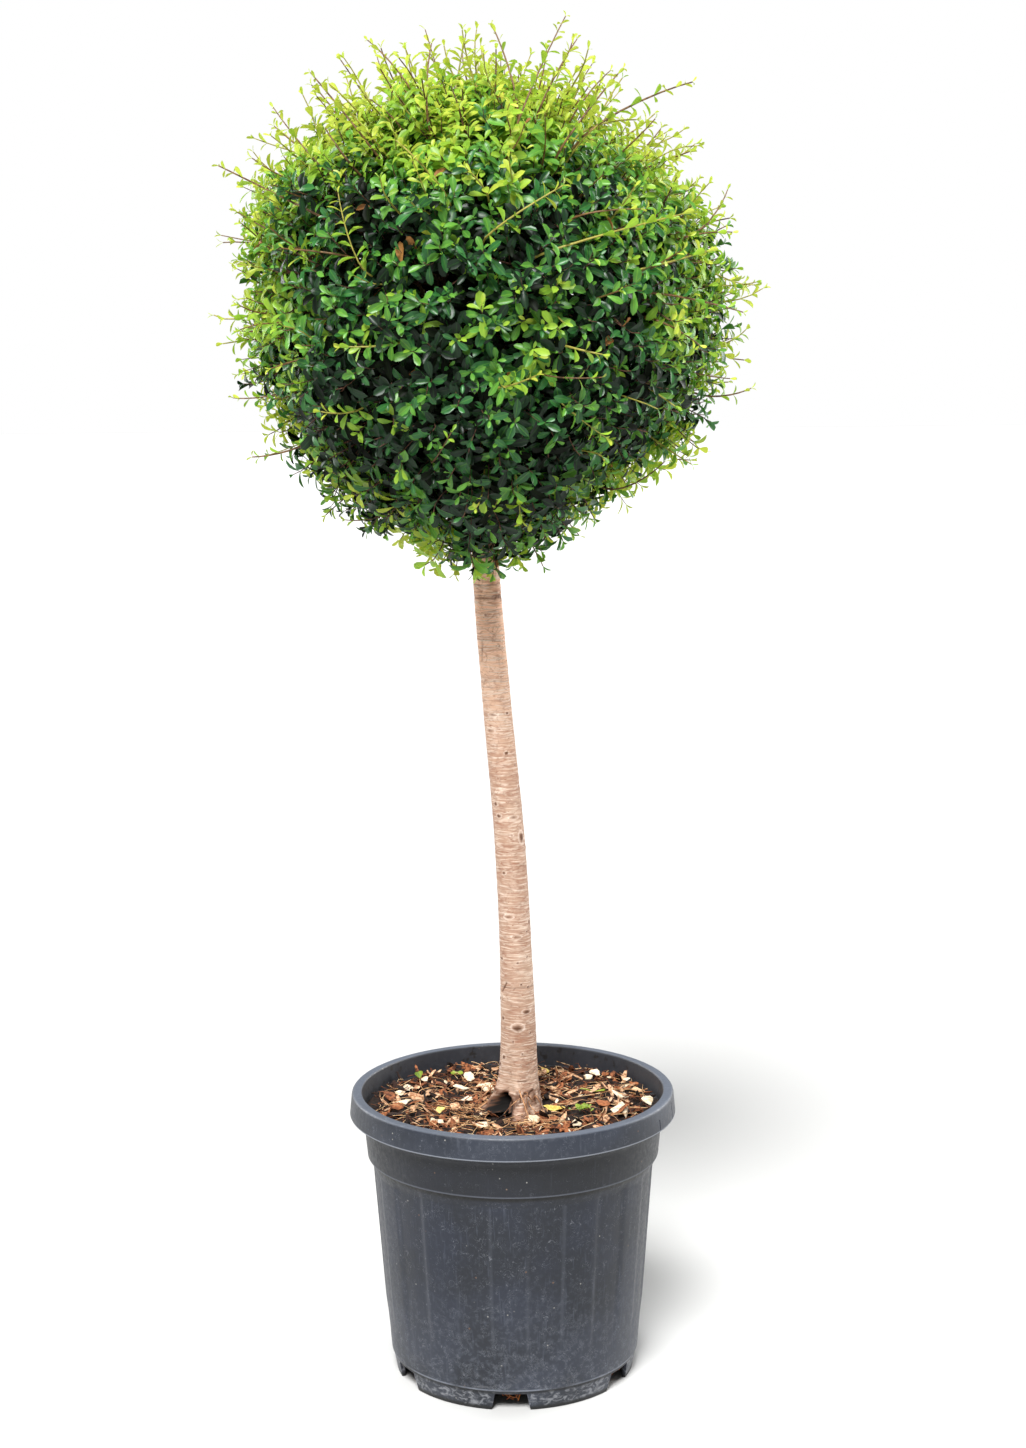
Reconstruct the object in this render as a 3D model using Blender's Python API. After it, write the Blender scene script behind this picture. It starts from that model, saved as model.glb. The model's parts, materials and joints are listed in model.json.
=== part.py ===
"""A ball-headed standard shrub in a nursery pot: pot, potting mix, trunk, boughs and clipped crown.

Metres, +Z up. The origin is the middle of the pot's underside, and the plant's front faces -Y.
Run it in Blender 4.5, from the text editor or with blender --background --python part.py.
"""

import math
import random

import bmesh
import bpy
from mathutils import Matrix, Vector
from mathutils.geometry import interpolate_bezier
from mathutils.noise import noise

# Clear space between two pieces that touch on the real plant.
SEAT_GAP = 0.0003

# Pot: a turned plastic shell. Radii are outer ones unless the name says otherwise.
POT_HEIGHT = 0.265
POT_SEGMENTS = 72
RIM_RADIUS = 0.1478
RIM_ROUNDING = 0.0016
MOUTH_RADIUS = 0.1385
SKIRT_RADIUS = 0.1500
SKIRT_BOTTOM = 0.2439
SKIRT_THICKNESS = 0.0026
UNDER_RIM = 0.2575
BAND_TOP_RADIUS = 0.1371
BAND_TOP = 0.2367
BAND_BOTTOM_RADIUS = 0.1341
BAND_BOTTOM = 0.2055
BAND_UNDERCUT = 0.0105
WALL_TOP_RADIUS = 0.1287
WALL_THICKNESS = 0.0026
LEDGE_RISE = 0.0037
LEDGE_RADIUS = 0.1402
FOOT_LINE = 0.0187
FOOT_LINE_RADIUS = 0.1146
FOOT_INSET = 0.0010
FOOT_RADIUS = 0.1100
FOOT_THICKNESS = 0.0036
FLOOR_THICKNESS = 0.0025
PAD_RADIUS = 0.0300

# Broad raised strips up the wall, evenly round it, fading out towards the foot.
STRIP_COUNT = 12
STRIP_PROUD = 0.0011
STRIP_TOP = 0.1925
STRIP_FULL = 0.0700
STRIP_FADED = 0.0480
FIRST_STRIP = math.radians(-2.0)

# Drainage slots through the foot ring, each with a hole in the floor behind it.
SLOT_COUNT = 6
SLOT_HEIGHT = 0.0165
SLOT_TOP_WIDTH = 0.0285
SLOT_BOTTOM_WIDTH = 0.0350
HOLE_WIDTH = 0.0180
HOLE_DEPTH = 0.0100
HOLE_INSET = 0.0020
SLOT_REACH_IN = 0.0180
SLOT_REACH_OUT = 0.0060
SLOT_REACH_DOWN = 0.0040

# Potting mix and its layer of bark, level where the trunk stands.
MIX_TOP = 0.2445
MIX_SEGMENTS = 36
MIX_LEVEL_RADIUS = 0.055
MIX_RINGS = (0.82, 0.60)
MIX_ROUGHNESS = 0.0028
MIX_LUMPS_PER_METRE = 40.0

# Trunk: its leaning centre line as (x, height), its diameters as (height, diameter), and root lobes
# as (bearing in degrees, how far the lobe stands out, half width in degrees).
TRUNK_BOTTOM = MIX_TOP + SEAT_GAP
TRUNK_TOP = 0.900
TRUNK_LINE = (
    (0.0062, 0.2445),
    (0.0052, 0.350),
    (-0.0003, 0.492),
    (-0.0124, 0.643),
    (-0.0200, 0.756),
    (-0.0205, 0.900),
)
TRUNK_DIAMETERS = (
    (0.2445, 0.0365),
    (0.290, 0.0335),
    (0.400, 0.0292),
    (0.600, 0.0260),
    (0.760, 0.0242),
    (0.900, 0.0150),
)
TRUNK_SIDES = 16
TRUNK_RINGS = 20
TRUNK_RING_CROWDING = 1.9
ROOT_LOBES = ((-48.0, 0.0150, 26.0), (28.0, 0.0180, 28.0), (112.0, 0.0080, 26.0), (200.0, 0.0100, 30.0))
ROOT_LOBE_HEIGHT = 0.015

# Crown: a clipped ball. Its space is divided by direction into one mass on top and two rings of masses.
CROWN_CENTRE = Vector((-0.0190, 0.0, 0.978))
CORE_RADIUS = 0.180
CORE_ROUGHNESS = 0.012
CORE_LUMPS = 3.1
RING_MASSES = 5
UPPER_ELEVATION = math.radians(27.0)
LOWER_ELEVATION = math.radians(-30.0)
TOP_INSIDE = 0.118
UPPER_INSIDE = 0.118
LOWER_INSIDE = 0.128
MASS_GAP = 0.0008
TRUNK_CLEARANCE = 0.0180

# Boughs: where each ring leaves the trunk, and where its boughs end, out from the trunk and up.
BOUGH_SIDES = 6
BOUGH_RINGS = 6
BOUGH_TIP_DIAMETER = 0.0064
BARK_GAP = 0.0007
UPPER_START = 0.852
UPPER_STEP = 0.007
UPPER_REACH = 0.078
UPPER_RISE = 1.012
LOWER_START = 0.800
LOWER_STEP = 0.005
LOWER_REACH = 0.066
LOWER_RISE = 0.846
UPPER_DIAMETER = 0.0110
LOWER_DIAMETER = 0.0100
LEADER_TIP = 1.082
LEADER_ASIDE = 0.006
LEADER_DIAMETER = 0.0136
STEM_LENGTH = 0.045

# How steeply boughs leave the trunk and arrive at their ends, and how far each end pulls on the
# curve between them, as a share of its span.
LOWER_LEAVES_AT = math.radians(42.0)
UPPER_LEAVES_AT = math.radians(66.0)
LEADER_LEAVES_AT = math.radians(84.0)
LOWER_ARRIVES_AT = math.radians(8.0)
UPPER_ARRIVES_AT = math.radians(42.0)
START_PULL = 0.40
END_PULL = 0.35

# Short shoots all over the ball, each with two pairs of leaves.
SHORT_SHOOTS = 104
SHOOT_SUNK = 0.012
SHOOT_OUT = 0.012
SHOOT_SPREAD = 0.42
SHOOT_LIFT = 0.18
LEAST_OUTWARD = 0.75
TWIG_RADIUS = 0.0018
TWIG_TAPER = 0.6
LEAF_LENGTH = 0.050
LEAF_WIDTH = 0.029
LEAF_THICKNESS = 0.0015
LEAF_WIDEST = 0.56
SHORT_JOINTS = ((0.66, math.radians(68.0)), (0.97, math.radians(46.0)))
ROLL_TRIES = 8

# Long new shoots past the clipped surface. Those at the sides are (angle from +X up to +Z in degrees,
# distance of the tip from the ball's middle), and the rest stand at front, back and top.
SIDE_SHOOTS = (
    (5.0, 0.236),
    (24.0, 0.234),
    (45.5, 0.261),
    (61.0, 0.238),
    (73.5, 0.255),
    (87.0, 0.239),
    (100.0, 0.230),
    (112.5, 0.240),
    (127.0, 0.240),
    (152.5, 0.256),
    (184.0, 0.237),
    (215.0, 0.230),
    (324.0, 0.229),
    (342.0, 0.243),
)
MORE_SHOOTS = 12
MORE_SHORTEST = 0.232
MORE_LONGEST = 0.250
MORE_HIGHEST = 0.92
MORE_DROP = 1.25
MORE_SIDEWAYS = 0.9
LONG_SUNK = 0.018
LONG_TWIG_RADIUS = 0.0021
LONG_LEAF_LENGTH = 0.030
LONG_LEAF_WIDTH = 0.0150
LONG_LEAF_THICKNESS = 0.0012
LONG_PAIR_SPACING = 0.026
LONG_FIRST_JOINT = 0.98
LONG_OPENING = math.radians(32.0)
LONG_OPENING_STEP = math.radians(14.0)
LONG_TIP_SHARE = 0.8

GOLDEN_ANGLE = math.pi * (3.0 - math.sqrt(5.0))
SEED = 11
UP = Vector((0.0, 0.0, 1.0))


def bearing(angle):
    """The level direction at this angle from the front, turning towards +X."""
    return Vector((math.sin(angle), -math.cos(angle), 0.0))


def along_table(table, key):
    """The value at key in a table of (key, value) rows, read along straight stretches."""
    for (low, first), (high, second) in zip(table, table[1:]):
        if key <= high:
            return first + (second - first) * (key - low) / (high - low)
    return table[-1][1]


def clear_scene():
    for obj in list(bpy.data.objects):
        bpy.data.objects.remove(obj, do_unlink=True)


def make_material(name, colour, roughness):
    material = bpy.data.materials.new(name)
    material.use_nodes = True
    shader = material.node_tree.nodes["Principled BSDF"]
    shader.inputs["Base Color"].default_value = (*colour, 1.0)
    shader.inputs["Roughness"].default_value = roughness
    shader.inputs["Metallic"].default_value = 0.0
    material.diffuse_color = (*colour, 1.0)
    return material


def add_mesh_object(name, bm, material, collection=None):
    """A new object from this bmesh, with its faces turned outwards."""
    bmesh.ops.recalc_face_normals(bm, faces=bm.faces)
    mesh = bpy.data.meshes.new(name)
    bm.to_mesh(mesh)
    bm.free()
    mesh.materials.append(material)
    obj = bpy.data.objects.new(name, mesh)
    (collection or bpy.context.scene.collection).objects.link(obj)
    return obj


def shade_round(obj, sharp_angle=30.0):
    obj.data.shade_smooth()
    obj.data.set_sharp_from_angle(angle=math.radians(sharp_angle))


def join_rings(bm, rings):
    """Quads between each ring of vertices and the next."""
    for lower, upper in zip(rings, rings[1:]):
        for i, corner in enumerate(lower):
            j = (i + 1) % len(lower)
            bm.faces.new((corner, lower[j], upper[j], upper[i]))


def close_on(bm, ring, centre):
    """Triangles from a ring to one vertex at its middle."""
    middle = bm.verts.new(centre)
    for i, corner in enumerate(ring):
        bm.faces.new((corner, ring[(i + 1) % len(ring)], middle))


def turned(profile, segments, first_angle, swell):
    """A turned solid: profile is (radius, height) rows from axis to axis, and swell adds to a radius."""
    bm = bmesh.new()
    rings = []
    for radius, height in profile[1:-1]:
        ring = []
        for i in range(segments):
            angle = first_angle + math.tau * i / segments
            spot = bearing(angle) * (radius + swell(radius, height, i)) + UP * height
            ring.append(bm.verts.new(spot))
        rings.append(ring)
    join_rings(bm, rings)
    close_on(bm, rings[0], UP * profile[0][1])
    close_on(bm, rings[-1], UP * profile[-1][1])
    return bm


# ---------------------------------------------------------------- pot


def wall_radius(height):
    """The outer radius of the plain wall, which tapers evenly from band to foot."""
    part = (height - FOOT_LINE) / (BAND_BOTTOM - FOOT_LINE)
    return FOOT_LINE_RADIUS + (WALL_TOP_RADIUS - FOOT_LINE_RADIUS) * part


def strip_swell(radius, height, segment):
    """How far a wall point stands out on its strip: half of each pitch is raised."""
    per_strip = POT_SEGMENTS // STRIP_COUNT
    on_wall = abs(radius - wall_radius(height)) < 1e-6 and height <= STRIP_TOP
    raised = (segment + 1) % per_strip < per_strip // 2
    if not (on_wall and raised):
        return 0.0
    fade = (height - STRIP_FADED) / (STRIP_FULL - STRIP_FADED)
    return STRIP_PROUD * min(max(fade, 0.0), 1.0)


def pot_profile():
    wall_top = BAND_BOTTOM - BAND_UNDERCUT
    wall_rows = (FOOT_LINE + FOOT_INSET, STRIP_FADED, STRIP_FULL, STRIP_TOP, wall_top)
    return (
        (0.0, 0.0),
        (PAD_RADIUS, 0.0),
        (PAD_RADIUS + 0.0020, FOOT_LINE),
        (FOOT_LINE_RADIUS - FOOT_INSET - FOOT_THICKNESS, FOOT_LINE),
        (FOOT_RADIUS - FOOT_THICKNESS, 0.0),
        (FOOT_RADIUS, 0.0),
        (FOOT_LINE_RADIUS - FOOT_INSET, FOOT_LINE),
        *((wall_radius(height), height) for height in wall_rows),
        (BAND_BOTTOM_RADIUS, BAND_BOTTOM),
        (BAND_TOP_RADIUS, BAND_TOP),
        (LEDGE_RADIUS, BAND_TOP + LEDGE_RISE),
        (LEDGE_RADIUS + 0.0008, UNDER_RIM),
        (SKIRT_RADIUS - SKIRT_THICKNESS - 0.0010, UNDER_RIM),
        (SKIRT_RADIUS - SKIRT_THICKNESS, SKIRT_BOTTOM),
        (SKIRT_RADIUS, SKIRT_BOTTOM),
        (RIM_RADIUS, POT_HEIGHT - RIM_ROUNDING),
        (RIM_RADIUS - RIM_ROUNDING, POT_HEIGHT),
        (MOUTH_RADIUS + RIM_ROUNDING, POT_HEIGHT),
        (MOUTH_RADIUS, POT_HEIGHT - RIM_ROUNDING),
        *inner_wall(),
        (0.0, inner_wall()[-1][1]),
    )


def inner_wall():
    """The inside of the wall from the ledge under the rim down to the floor."""
    floor_top = FOOT_LINE + FLOOR_THICKNESS
    ledge_bottom = BAND_TOP + WALL_THICKNESS
    return (
        (LEDGE_RADIUS - WALL_THICKNESS, ledge_bottom + LEDGE_RISE),
        (BAND_TOP_RADIUS - WALL_THICKNESS, ledge_bottom),
        (wall_radius(BAND_BOTTOM) - WALL_THICKNESS, BAND_BOTTOM),
        (wall_radius(floor_top) - WALL_THICKNESS, floor_top),
    )


def slot_cutter(index, cutters, material):
    """A tapered block that opens the foot ring, with a lug above it that opens the floor."""
    bm = bmesh.new()
    inner, outer = FOOT_RADIUS - SLOT_REACH_IN, FOOT_LINE_RADIUS + SLOT_REACH_OUT
    half_top, half_bottom = SLOT_TOP_WIDTH / 2, SLOT_BOTTOM_WIDTH / 2
    half_below = half_bottom + (half_bottom - half_top) * SLOT_REACH_DOWN / SLOT_HEIGHT
    corners = [
        bm.verts.new((across, -out, height))
        for out in (inner, outer)
        for across, height in (
            (-half_below, -SLOT_REACH_DOWN),
            (half_below, -SLOT_REACH_DOWN),
            (half_top, SLOT_HEIGHT),
            (-half_top, SLOT_HEIGHT),
        )
    ]
    bmesh.ops.convex_hull(bm, input=corners)
    turn = Matrix.Rotation(FIRST_STRIP + math.tau * index / SLOT_COUNT, 4, "Z")
    bmesh.ops.transform(bm, matrix=turn, verts=bm.verts)
    block = add_mesh_object(f"slot_cutter_{index + 1}", bm, material, cutters)

    bm = bmesh.new()
    bmesh.ops.create_cube(bm, size=1.0)
    middle = FOOT_RADIUS - FOOT_THICKNESS - HOLE_DEPTH / 2 - HOLE_INSET
    floor_middle = FOOT_LINE + FLOOR_THICKNESS / 2
    place = turn @ Matrix.Translation((0.0, -middle, floor_middle))
    size = Matrix.Diagonal((HOLE_WIDTH, HOLE_DEPTH, FLOOR_THICKNESS * 3, 1.0))
    bmesh.ops.transform(bm, matrix=place @ size, verts=bm.verts)
    hole = add_mesh_object(f"hole_cutter_{index + 1}", bm, material, cutters)
    for cutter in (block, hole):
        cutter.hide_render = True
        cutter.display_type = "WIRE"


def make_pot(material):
    bm = turned(pot_profile(), POT_SEGMENTS, FIRST_STRIP, strip_swell)
    pot = add_mesh_object("pot", bm, material)
    cutters = bpy.data.collections.new("pot_cutters")
    bpy.context.scene.collection.children.link(cutters)
    for index in range(SLOT_COUNT):
        slot_cutter(index, cutters, material)
    cut = pot.modifiers.new("slots", "BOOLEAN")
    cut.operation = "DIFFERENCE"
    cut.operand_type = "COLLECTION"
    cut.collection = cutters
    shade_round(pot)
    return pot


def make_mix(material):
    """Potting mix: it fills the pot to the ledge and lies a little uneven on top."""
    sides = [(radius - SEAT_GAP, height + SEAT_GAP) for radius, height in reversed(inner_wall())]
    edge = sides[-1][0]
    profile = (
        (0.0, sides[0][1]),
        *sides,
        (edge, MIX_TOP),
        *((edge * part, MIX_TOP) for part in MIX_RINGS),
        (MIX_LEVEL_RADIUS, MIX_TOP),
        (0.0, MIX_TOP),
    )
    bm = turned(profile, MIX_SEGMENTS, FIRST_STRIP, lambda radius, height, segment: 0.0)
    for vert in bm.verts:
        out = math.hypot(vert.co.x, vert.co.y)
        on_top = vert.co.z > MIX_TOP - 0.0001
        if on_top and MIX_LEVEL_RADIUS + 0.001 < out < edge - 0.001:
            vert.co.z += MIX_ROUGHNESS * noise(vert.co * MIX_LUMPS_PER_METRE)
    mix = add_mesh_object("potting_mix", bm, material)
    shade_round(mix)
    return mix


# ---------------------------------------------------------------- trunk and boughs


def trunk_axis(height):
    """The point of the trunk's centre line at this height, on a smooth curve through TRUNK_LINE."""
    rows = TRUNK_LINE
    place = 0
    while place < len(rows) - 2 and height > rows[place + 1][1]:
        place += 1
    x = [rows[min(max(place + step, 0), len(rows) - 1)][0] for step in (-1, 0, 1, 2)]
    low, high = rows[place][1], rows[place + 1][1]
    t = min(max((height - low) / (high - low), 0.0), 1.0)
    start_slope, end_slope = (x[2] - x[0]) / 2, (x[3] - x[1]) / 2
    across = (2 * t**3 - 3 * t**2 + 1) * x[1] + (t**3 - 2 * t**2 + t) * start_slope
    across += (3 * t**2 - 2 * t**3) * x[2] + (t**3 - t**2) * end_slope
    return Vector((across, 0.0, height))


def trunk_radius(height):
    return along_table(TRUNK_DIAMETERS, height) / 2


def root_flare(height, angle):
    """How far the root lobes carry the bark out at this height and bearing."""
    flare = 0.0
    for middle, proud, half_width in ROOT_LOBES:
        away = math.degrees(math.remainder(angle - math.radians(middle), math.tau))
        flare += proud * math.exp(-((away / half_width) ** 2))
    return flare * math.exp(-(height - TRUNK_BOTTOM) / ROOT_LOBE_HEIGHT)


def make_trunk(material):
    bm = bmesh.new()
    rings = []
    for i in range(TRUNK_RINGS):
        # The rings lie close together at the foot, where the flare changes quickly.
        share = (i / (TRUNK_RINGS - 1)) ** TRUNK_RING_CROWDING
        height = TRUNK_BOTTOM + (TRUNK_TOP - TRUNK_BOTTOM) * share
        ring = []
        for side in range(TRUNK_SIDES):
            angle = math.tau * side / TRUNK_SIDES
            radius = trunk_radius(height) + root_flare(height, angle)
            ring.append(bm.verts.new(trunk_axis(height) + bearing(angle) * radius))
        rings.append(ring)
    join_rings(bm, rings)
    bm.faces.new(rings[0])
    bm.faces.new(rings[-1])
    trunk = add_mesh_object("trunk", bm, material)
    shade_round(trunk, 50.0)
    return trunk


def seat_on_trunk(spot, outward):
    """The spot slid level along outward until it lies just clear of the trunk's bark."""
    off_axis = spot - trunk_axis(spot.z)
    reach = trunk_radius(spot.z) + BARK_GAP
    forward = off_axis.dot(outward)
    slide = -forward + math.sqrt(max(reach**2 - off_axis.length_squared + forward**2, 0.0))
    return spot + outward * slide


def bough_line(start, start_rise, end, end_direction, outward):
    """Points along a limb that leaves at start_rise above level and arrives along end_direction."""
    span = (end - start).length
    leave = outward * math.cos(start_rise) + UP * math.sin(start_rise)
    first_handle = start + leave * span * START_PULL
    last_handle = end - end_direction * span * END_PULL
    return interpolate_bezier(start, first_handle, last_handle, end, BOUGH_RINGS)


def make_bough(name, line, end_direction, diameters, outward, seated, material):
    """One tapering limb along line. Its foot follows the bark when seated, and is flat otherwise."""
    bm = bmesh.new()
    sideways = UP.cross(outward).normalized()
    rings = []
    for i, centre in enumerate(line):
        ahead = line[min(i + 1, len(line) - 1)] - line[max(i - 1, 0)]
        along = end_direction if i == len(line) - 1 else ahead.normalized()
        if i == 0:
            along = outward if seated else UP
        over = along.cross(sideways).normalized()
        part = i / (len(line) - 1)
        radius = (diameters[0] + (diameters[1] - diameters[0]) * part) / 2
        ring = []
        for side in range(BOUGH_SIDES):
            angle = math.tau * side / BOUGH_SIDES
            spot = centre + (sideways * math.cos(angle) + over * math.sin(angle)) * radius
            ring.append(bm.verts.new(seat_on_trunk(spot, outward) if seated and i == 0 else spot))
        rings.append(ring)
    join_rings(bm, rings)
    close_on(bm, rings[0], seat_on_trunk(line[0], outward) if seated else line[0])
    bm.faces.new(rings[-1])
    bough = add_mesh_object(name, bm, material)
    shade_round(bough, 50.0)
    return bough


# ---------------------------------------------------------------- crown


def towards(angle, elevation):
    return bearing(angle) * math.cos(elevation) + UP * math.sin(elevation)


def ring_angles(offset):
    return [math.tau * (i + offset) / RING_MASSES for i in range(RING_MASSES)]


def make_cells():
    """One entry for each mass: its name, direction, bearing, inner distance and its bough's line."""
    cells = []
    for i, angle in enumerate(ring_angles(0.0)):
        start = trunk_axis(LOWER_START + LOWER_STEP * (i * 2 % RING_MASSES))
        end = trunk_axis(LOWER_RISE) + bearing(angle) * LOWER_REACH
        cells.append(
            {
                "name": f"lower_{i + 1}",
                "towards": towards(angle, LOWER_ELEVATION),
                "outward": bearing(angle),
                "inside": LOWER_INSIDE,
                "start": start + bearing(angle) * trunk_radius(start.z),
                "start_rise": LOWER_LEAVES_AT,
                "end": end,
                "arrive": towards(angle, LOWER_ARRIVES_AT),
                "diameter": LOWER_DIAMETER,
            }
        )
    for i, angle in enumerate(ring_angles(0.5)):
        start = trunk_axis(UPPER_START + UPPER_STEP * (i * 2 % RING_MASSES))
        end = trunk_axis(TRUNK_TOP) + bearing(angle) * UPPER_REACH
        end.z = UPPER_RISE
        cells.append(
            {
                "name": f"upper_{i + 1}",
                "towards": towards(angle, UPPER_ELEVATION),
                "outward": bearing(angle),
                "inside": UPPER_INSIDE,
                "start": start + bearing(angle) * trunk_radius(start.z),
                "start_rise": UPPER_LEAVES_AT,
                "end": end,
                "arrive": towards(angle, UPPER_ARRIVES_AT),
                "diameter": UPPER_DIAMETER,
            }
        )
    top = trunk_axis(TRUNK_TOP)
    cells.append(
        {
            "name": "top",
            "towards": UP.copy(),
            "outward": bearing(math.radians(90.0)),
            "inside": TOP_INSIDE,
            "start": top + UP * SEAT_GAP,
            "start_rise": LEADER_LEAVES_AT,
            "end": Vector((CROWN_CENTRE.x, LEADER_ASIDE, LEADER_TIP)),
            "arrive": UP.copy(),
            "diameter": LEADER_DIAMETER,
        }
    )
    for cell in cells:
        cell["planes"] = cell_planes(cell, cells)
    return cells


def cell_planes(cell, cells):
    """The flat bounds of a mass's space, each as a point and the direction that leads out of it."""
    planes = []
    for other in cells:
        if other is not cell:
            out = (other["towards"] - cell["towards"]).normalized()
            planes.append((CROWN_CENTRE - out * MASS_GAP / 2, out))
    if cell["name"].startswith("lower"):
        nearest = trunk_axis(TRUNK_TOP) + cell["outward"] * TRUNK_CLEARANCE
        planes.append((nearest, -cell["outward"]))
    return planes


def holds(cell, spots, margin=0.0):
    """Whether every spot lies inside the mass's own space, at least margin from its bounds."""
    bounds = cell["planes"]
    return all((spot - point).dot(out) <= -margin for point, out in bounds for spot in spots)


def lump(direction):
    """A gentle unevenness of the clipped surface, as a distance."""
    return CORE_ROUGHNESS * noise(direction * CORE_LUMPS)


def make_core(cell, material):
    """The dense inside of a mass: its part of an uneven ball, with the bare middle cut off flat."""
    bm = bmesh.new()
    bmesh.ops.create_icosphere(bm, subdivisions=3, radius=CORE_RADIUS)
    for vert in bm.verts:
        vert.co += vert.co.normalized() * lump(vert.co.normalized())
        vert.co += CROWN_CENTRE
    inner = (CROWN_CENTRE + cell["towards"] * cell["inside"], -cell["towards"])
    for point, out in (*cell["planes"], inner):
        geometry = bm.verts[:] + bm.edges[:] + bm.faces[:]
        cut = bmesh.ops.bisect_plane(
            bm, geom=geometry, plane_co=point, plane_no=out, clear_outer=True, dist=1e-6
        )
        edges = [part for part in cut["geom_cut"] if isinstance(part, bmesh.types.BMEdge)]
        if edges:
            bmesh.ops.contextual_create(bm, geom=edges)
    return add_mesh_object(f"foliage_{cell['name']}", bm, material)


def add_twig(root, tip, radius, sides, parts, material):
    """A slim tapering prism from root to tip."""
    bm = bmesh.new()
    along = (tip - root).normalized()
    across = along.orthogonal().normalized()
    rings = []
    for centre, size in ((root, radius), (tip, radius * TWIG_TAPER)):
        turns = (Matrix.Rotation(math.tau * side / sides, 3, along) for side in range(sides))
        rings.append([bm.verts.new(centre + turn @ across * size) for turn in turns])
    join_rings(bm, rings)
    for ring in rings:
        bm.faces.new(ring)
    add_mesh_object("twig", bm, material, parts)


def leaf_points(foot, along, across, length, width, thickness):
    """The six corners of a leaf: foot, sides, tip, and the two at the middle of its faces."""
    normal = along.cross(across).normalized()
    middle = foot + along * length / 2
    widest = foot + along * length * LEAF_WIDEST
    return (
        foot,
        widest + across * width / 2,
        foot + along * length,
        widest - across * width / 2,
        middle + normal * thickness / 2,
        middle - normal * thickness / 2,
    )


def add_leaf(points, parts, material):
    bm = bmesh.new()
    corners = [bm.verts.new(point) for point in points]
    for i in range(4):
        j = (i + 1) % 4
        bm.faces.new((corners[i], corners[j], corners[4]))
        bm.faces.new((corners[j], corners[i], corners[5]))
    add_mesh_object("leaf", bm, material, parts)


def leaf_pair(joint, along, roll, open_angle, size):
    """The corners of two opposite leaves at one joint of a twig, opening away from its line."""
    across = along.orthogonal().normalized()
    side = Matrix.Rotation(roll, 3, along) @ across
    pair = []
    for way in (1.0, -1.0):
        line = along * math.cos(open_angle) + side * way * math.sin(open_angle)
        pair.append(leaf_points(joint, line, along.cross(side).normalized(), *size))
    return pair


def add_shoot(cell, root, tip, twig_radius, joints, size, rng, parts, material):
    """One shoot with its leaf pairs, each pair turned a quarter from the last, kept to its space."""
    if not holds(cell, (root, tip), twig_radius):
        return
    along = (tip - root).normalized()
    best = []
    first_roll = rng.uniform(0.0, math.pi)
    for attempt in range(ROLL_TRIES):
        roll = first_roll + math.pi * attempt / ROLL_TRIES
        leaves = []
        for i, (place, opening) in enumerate(joints):
            joint = root.lerp(tip, place)
            leaves += leaf_pair(joint, along, roll + i * math.pi / 2, opening, size)
        leaves = [points for points in leaves if holds(cell, points)]
        if len(leaves) > len(best):
            best = leaves
    if best:
        add_twig(root, tip, twig_radius, 3, parts, material)
        for points in best:
            add_leaf(points, parts, material)


def short_shoots():
    """Root and tip of each short shoot, spread evenly over the ball with a seeded tilt."""
    rng = random.Random(SEED)
    for i in range(SHORT_SHOOTS):
        height = 1.0 - 2.0 * (i + 0.5) / SHORT_SHOOTS
        direction = towards(GOLDEN_ANGLE * i, math.asin(height))
        surface = CORE_RADIUS + lump(direction)
        root = CROWN_CENTRE + direction * (surface - SHOOT_SUNK)
        sway = Vector([rng.uniform(-1.0, 1.0) for _ in range(3)]) * SHOOT_SPREAD
        along = (direction + sway + UP * SHOOT_LIFT).normalized()
        lacking = max(0.0, LEAST_OUTWARD - along.dot(direction))
        along = (along + direction * lacking).normalized()
        yield direction, root, root + along * (SHOOT_SUNK + SHOOT_OUT) / along.dot(direction)


def long_shoots():
    """Direction and reach of each long shoot: those at the sides, then the seeded rest."""
    for angle, reach in SIDE_SHOOTS:
        turn = math.radians(angle)
        yield Vector((math.cos(turn), 0.0, math.sin(turn))), reach
    rng = random.Random(SEED + 1)
    for i in range(MORE_SHOOTS):
        # Two of three stand on the upper half, as the strongest growth does.
        height = MORE_HIGHEST - MORE_DROP * (i + 0.5) / MORE_SHOOTS
        side = 0.0 if i % 2 else math.pi
        angle = side + rng.uniform(-MORE_SIDEWAYS, MORE_SIDEWAYS)
        yield towards(angle, math.asin(height)), rng.uniform(MORE_SHORTEST, MORE_LONGEST)


def nearest_cell(direction, cells):
    return max(cells, key=lambda cell: cell["towards"].dot(direction))


def keep_largest_piece(mesh):
    """Drop sealed hollows and loose scraps, which a union can leave, and keep the one outer body."""
    bm = bmesh.new()
    bm.from_mesh(mesh)
    unseen = set(bm.verts)
    pieces = []
    while unseen:
        piece = set()
        edge_of_search = [unseen.pop()]
        while edge_of_search:
            vert = edge_of_search.pop()
            piece.add(vert)
            near = {edge.other_vert(vert) for edge in vert.link_edges} & unseen
            unseen -= near
            edge_of_search.extend(near)
        pieces.append(piece)
    largest = max(pieces, key=len)
    bmesh.ops.delete(bm, geom=[vert for vert in bm.verts if vert not in largest], context="VERTS")
    bm.to_mesh(mesh)
    bm.free()


def fuse(base, parts):
    """Join base and every object of the collection parts into one solid, then remove the parts."""
    union = base.modifiers.new("fuse", "BOOLEAN")
    union.operation = "UNION"
    union.operand_type = "COLLECTION"
    union.collection = parts
    with bpy.context.temp_override(object=base, active_object=base):
        bpy.ops.object.modifier_apply(modifier=union.name)
    for part in list(parts.objects):
        bpy.data.objects.remove(part, do_unlink=True)
    bpy.data.collections.remove(parts)
    keep_largest_piece(base.data)


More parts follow.
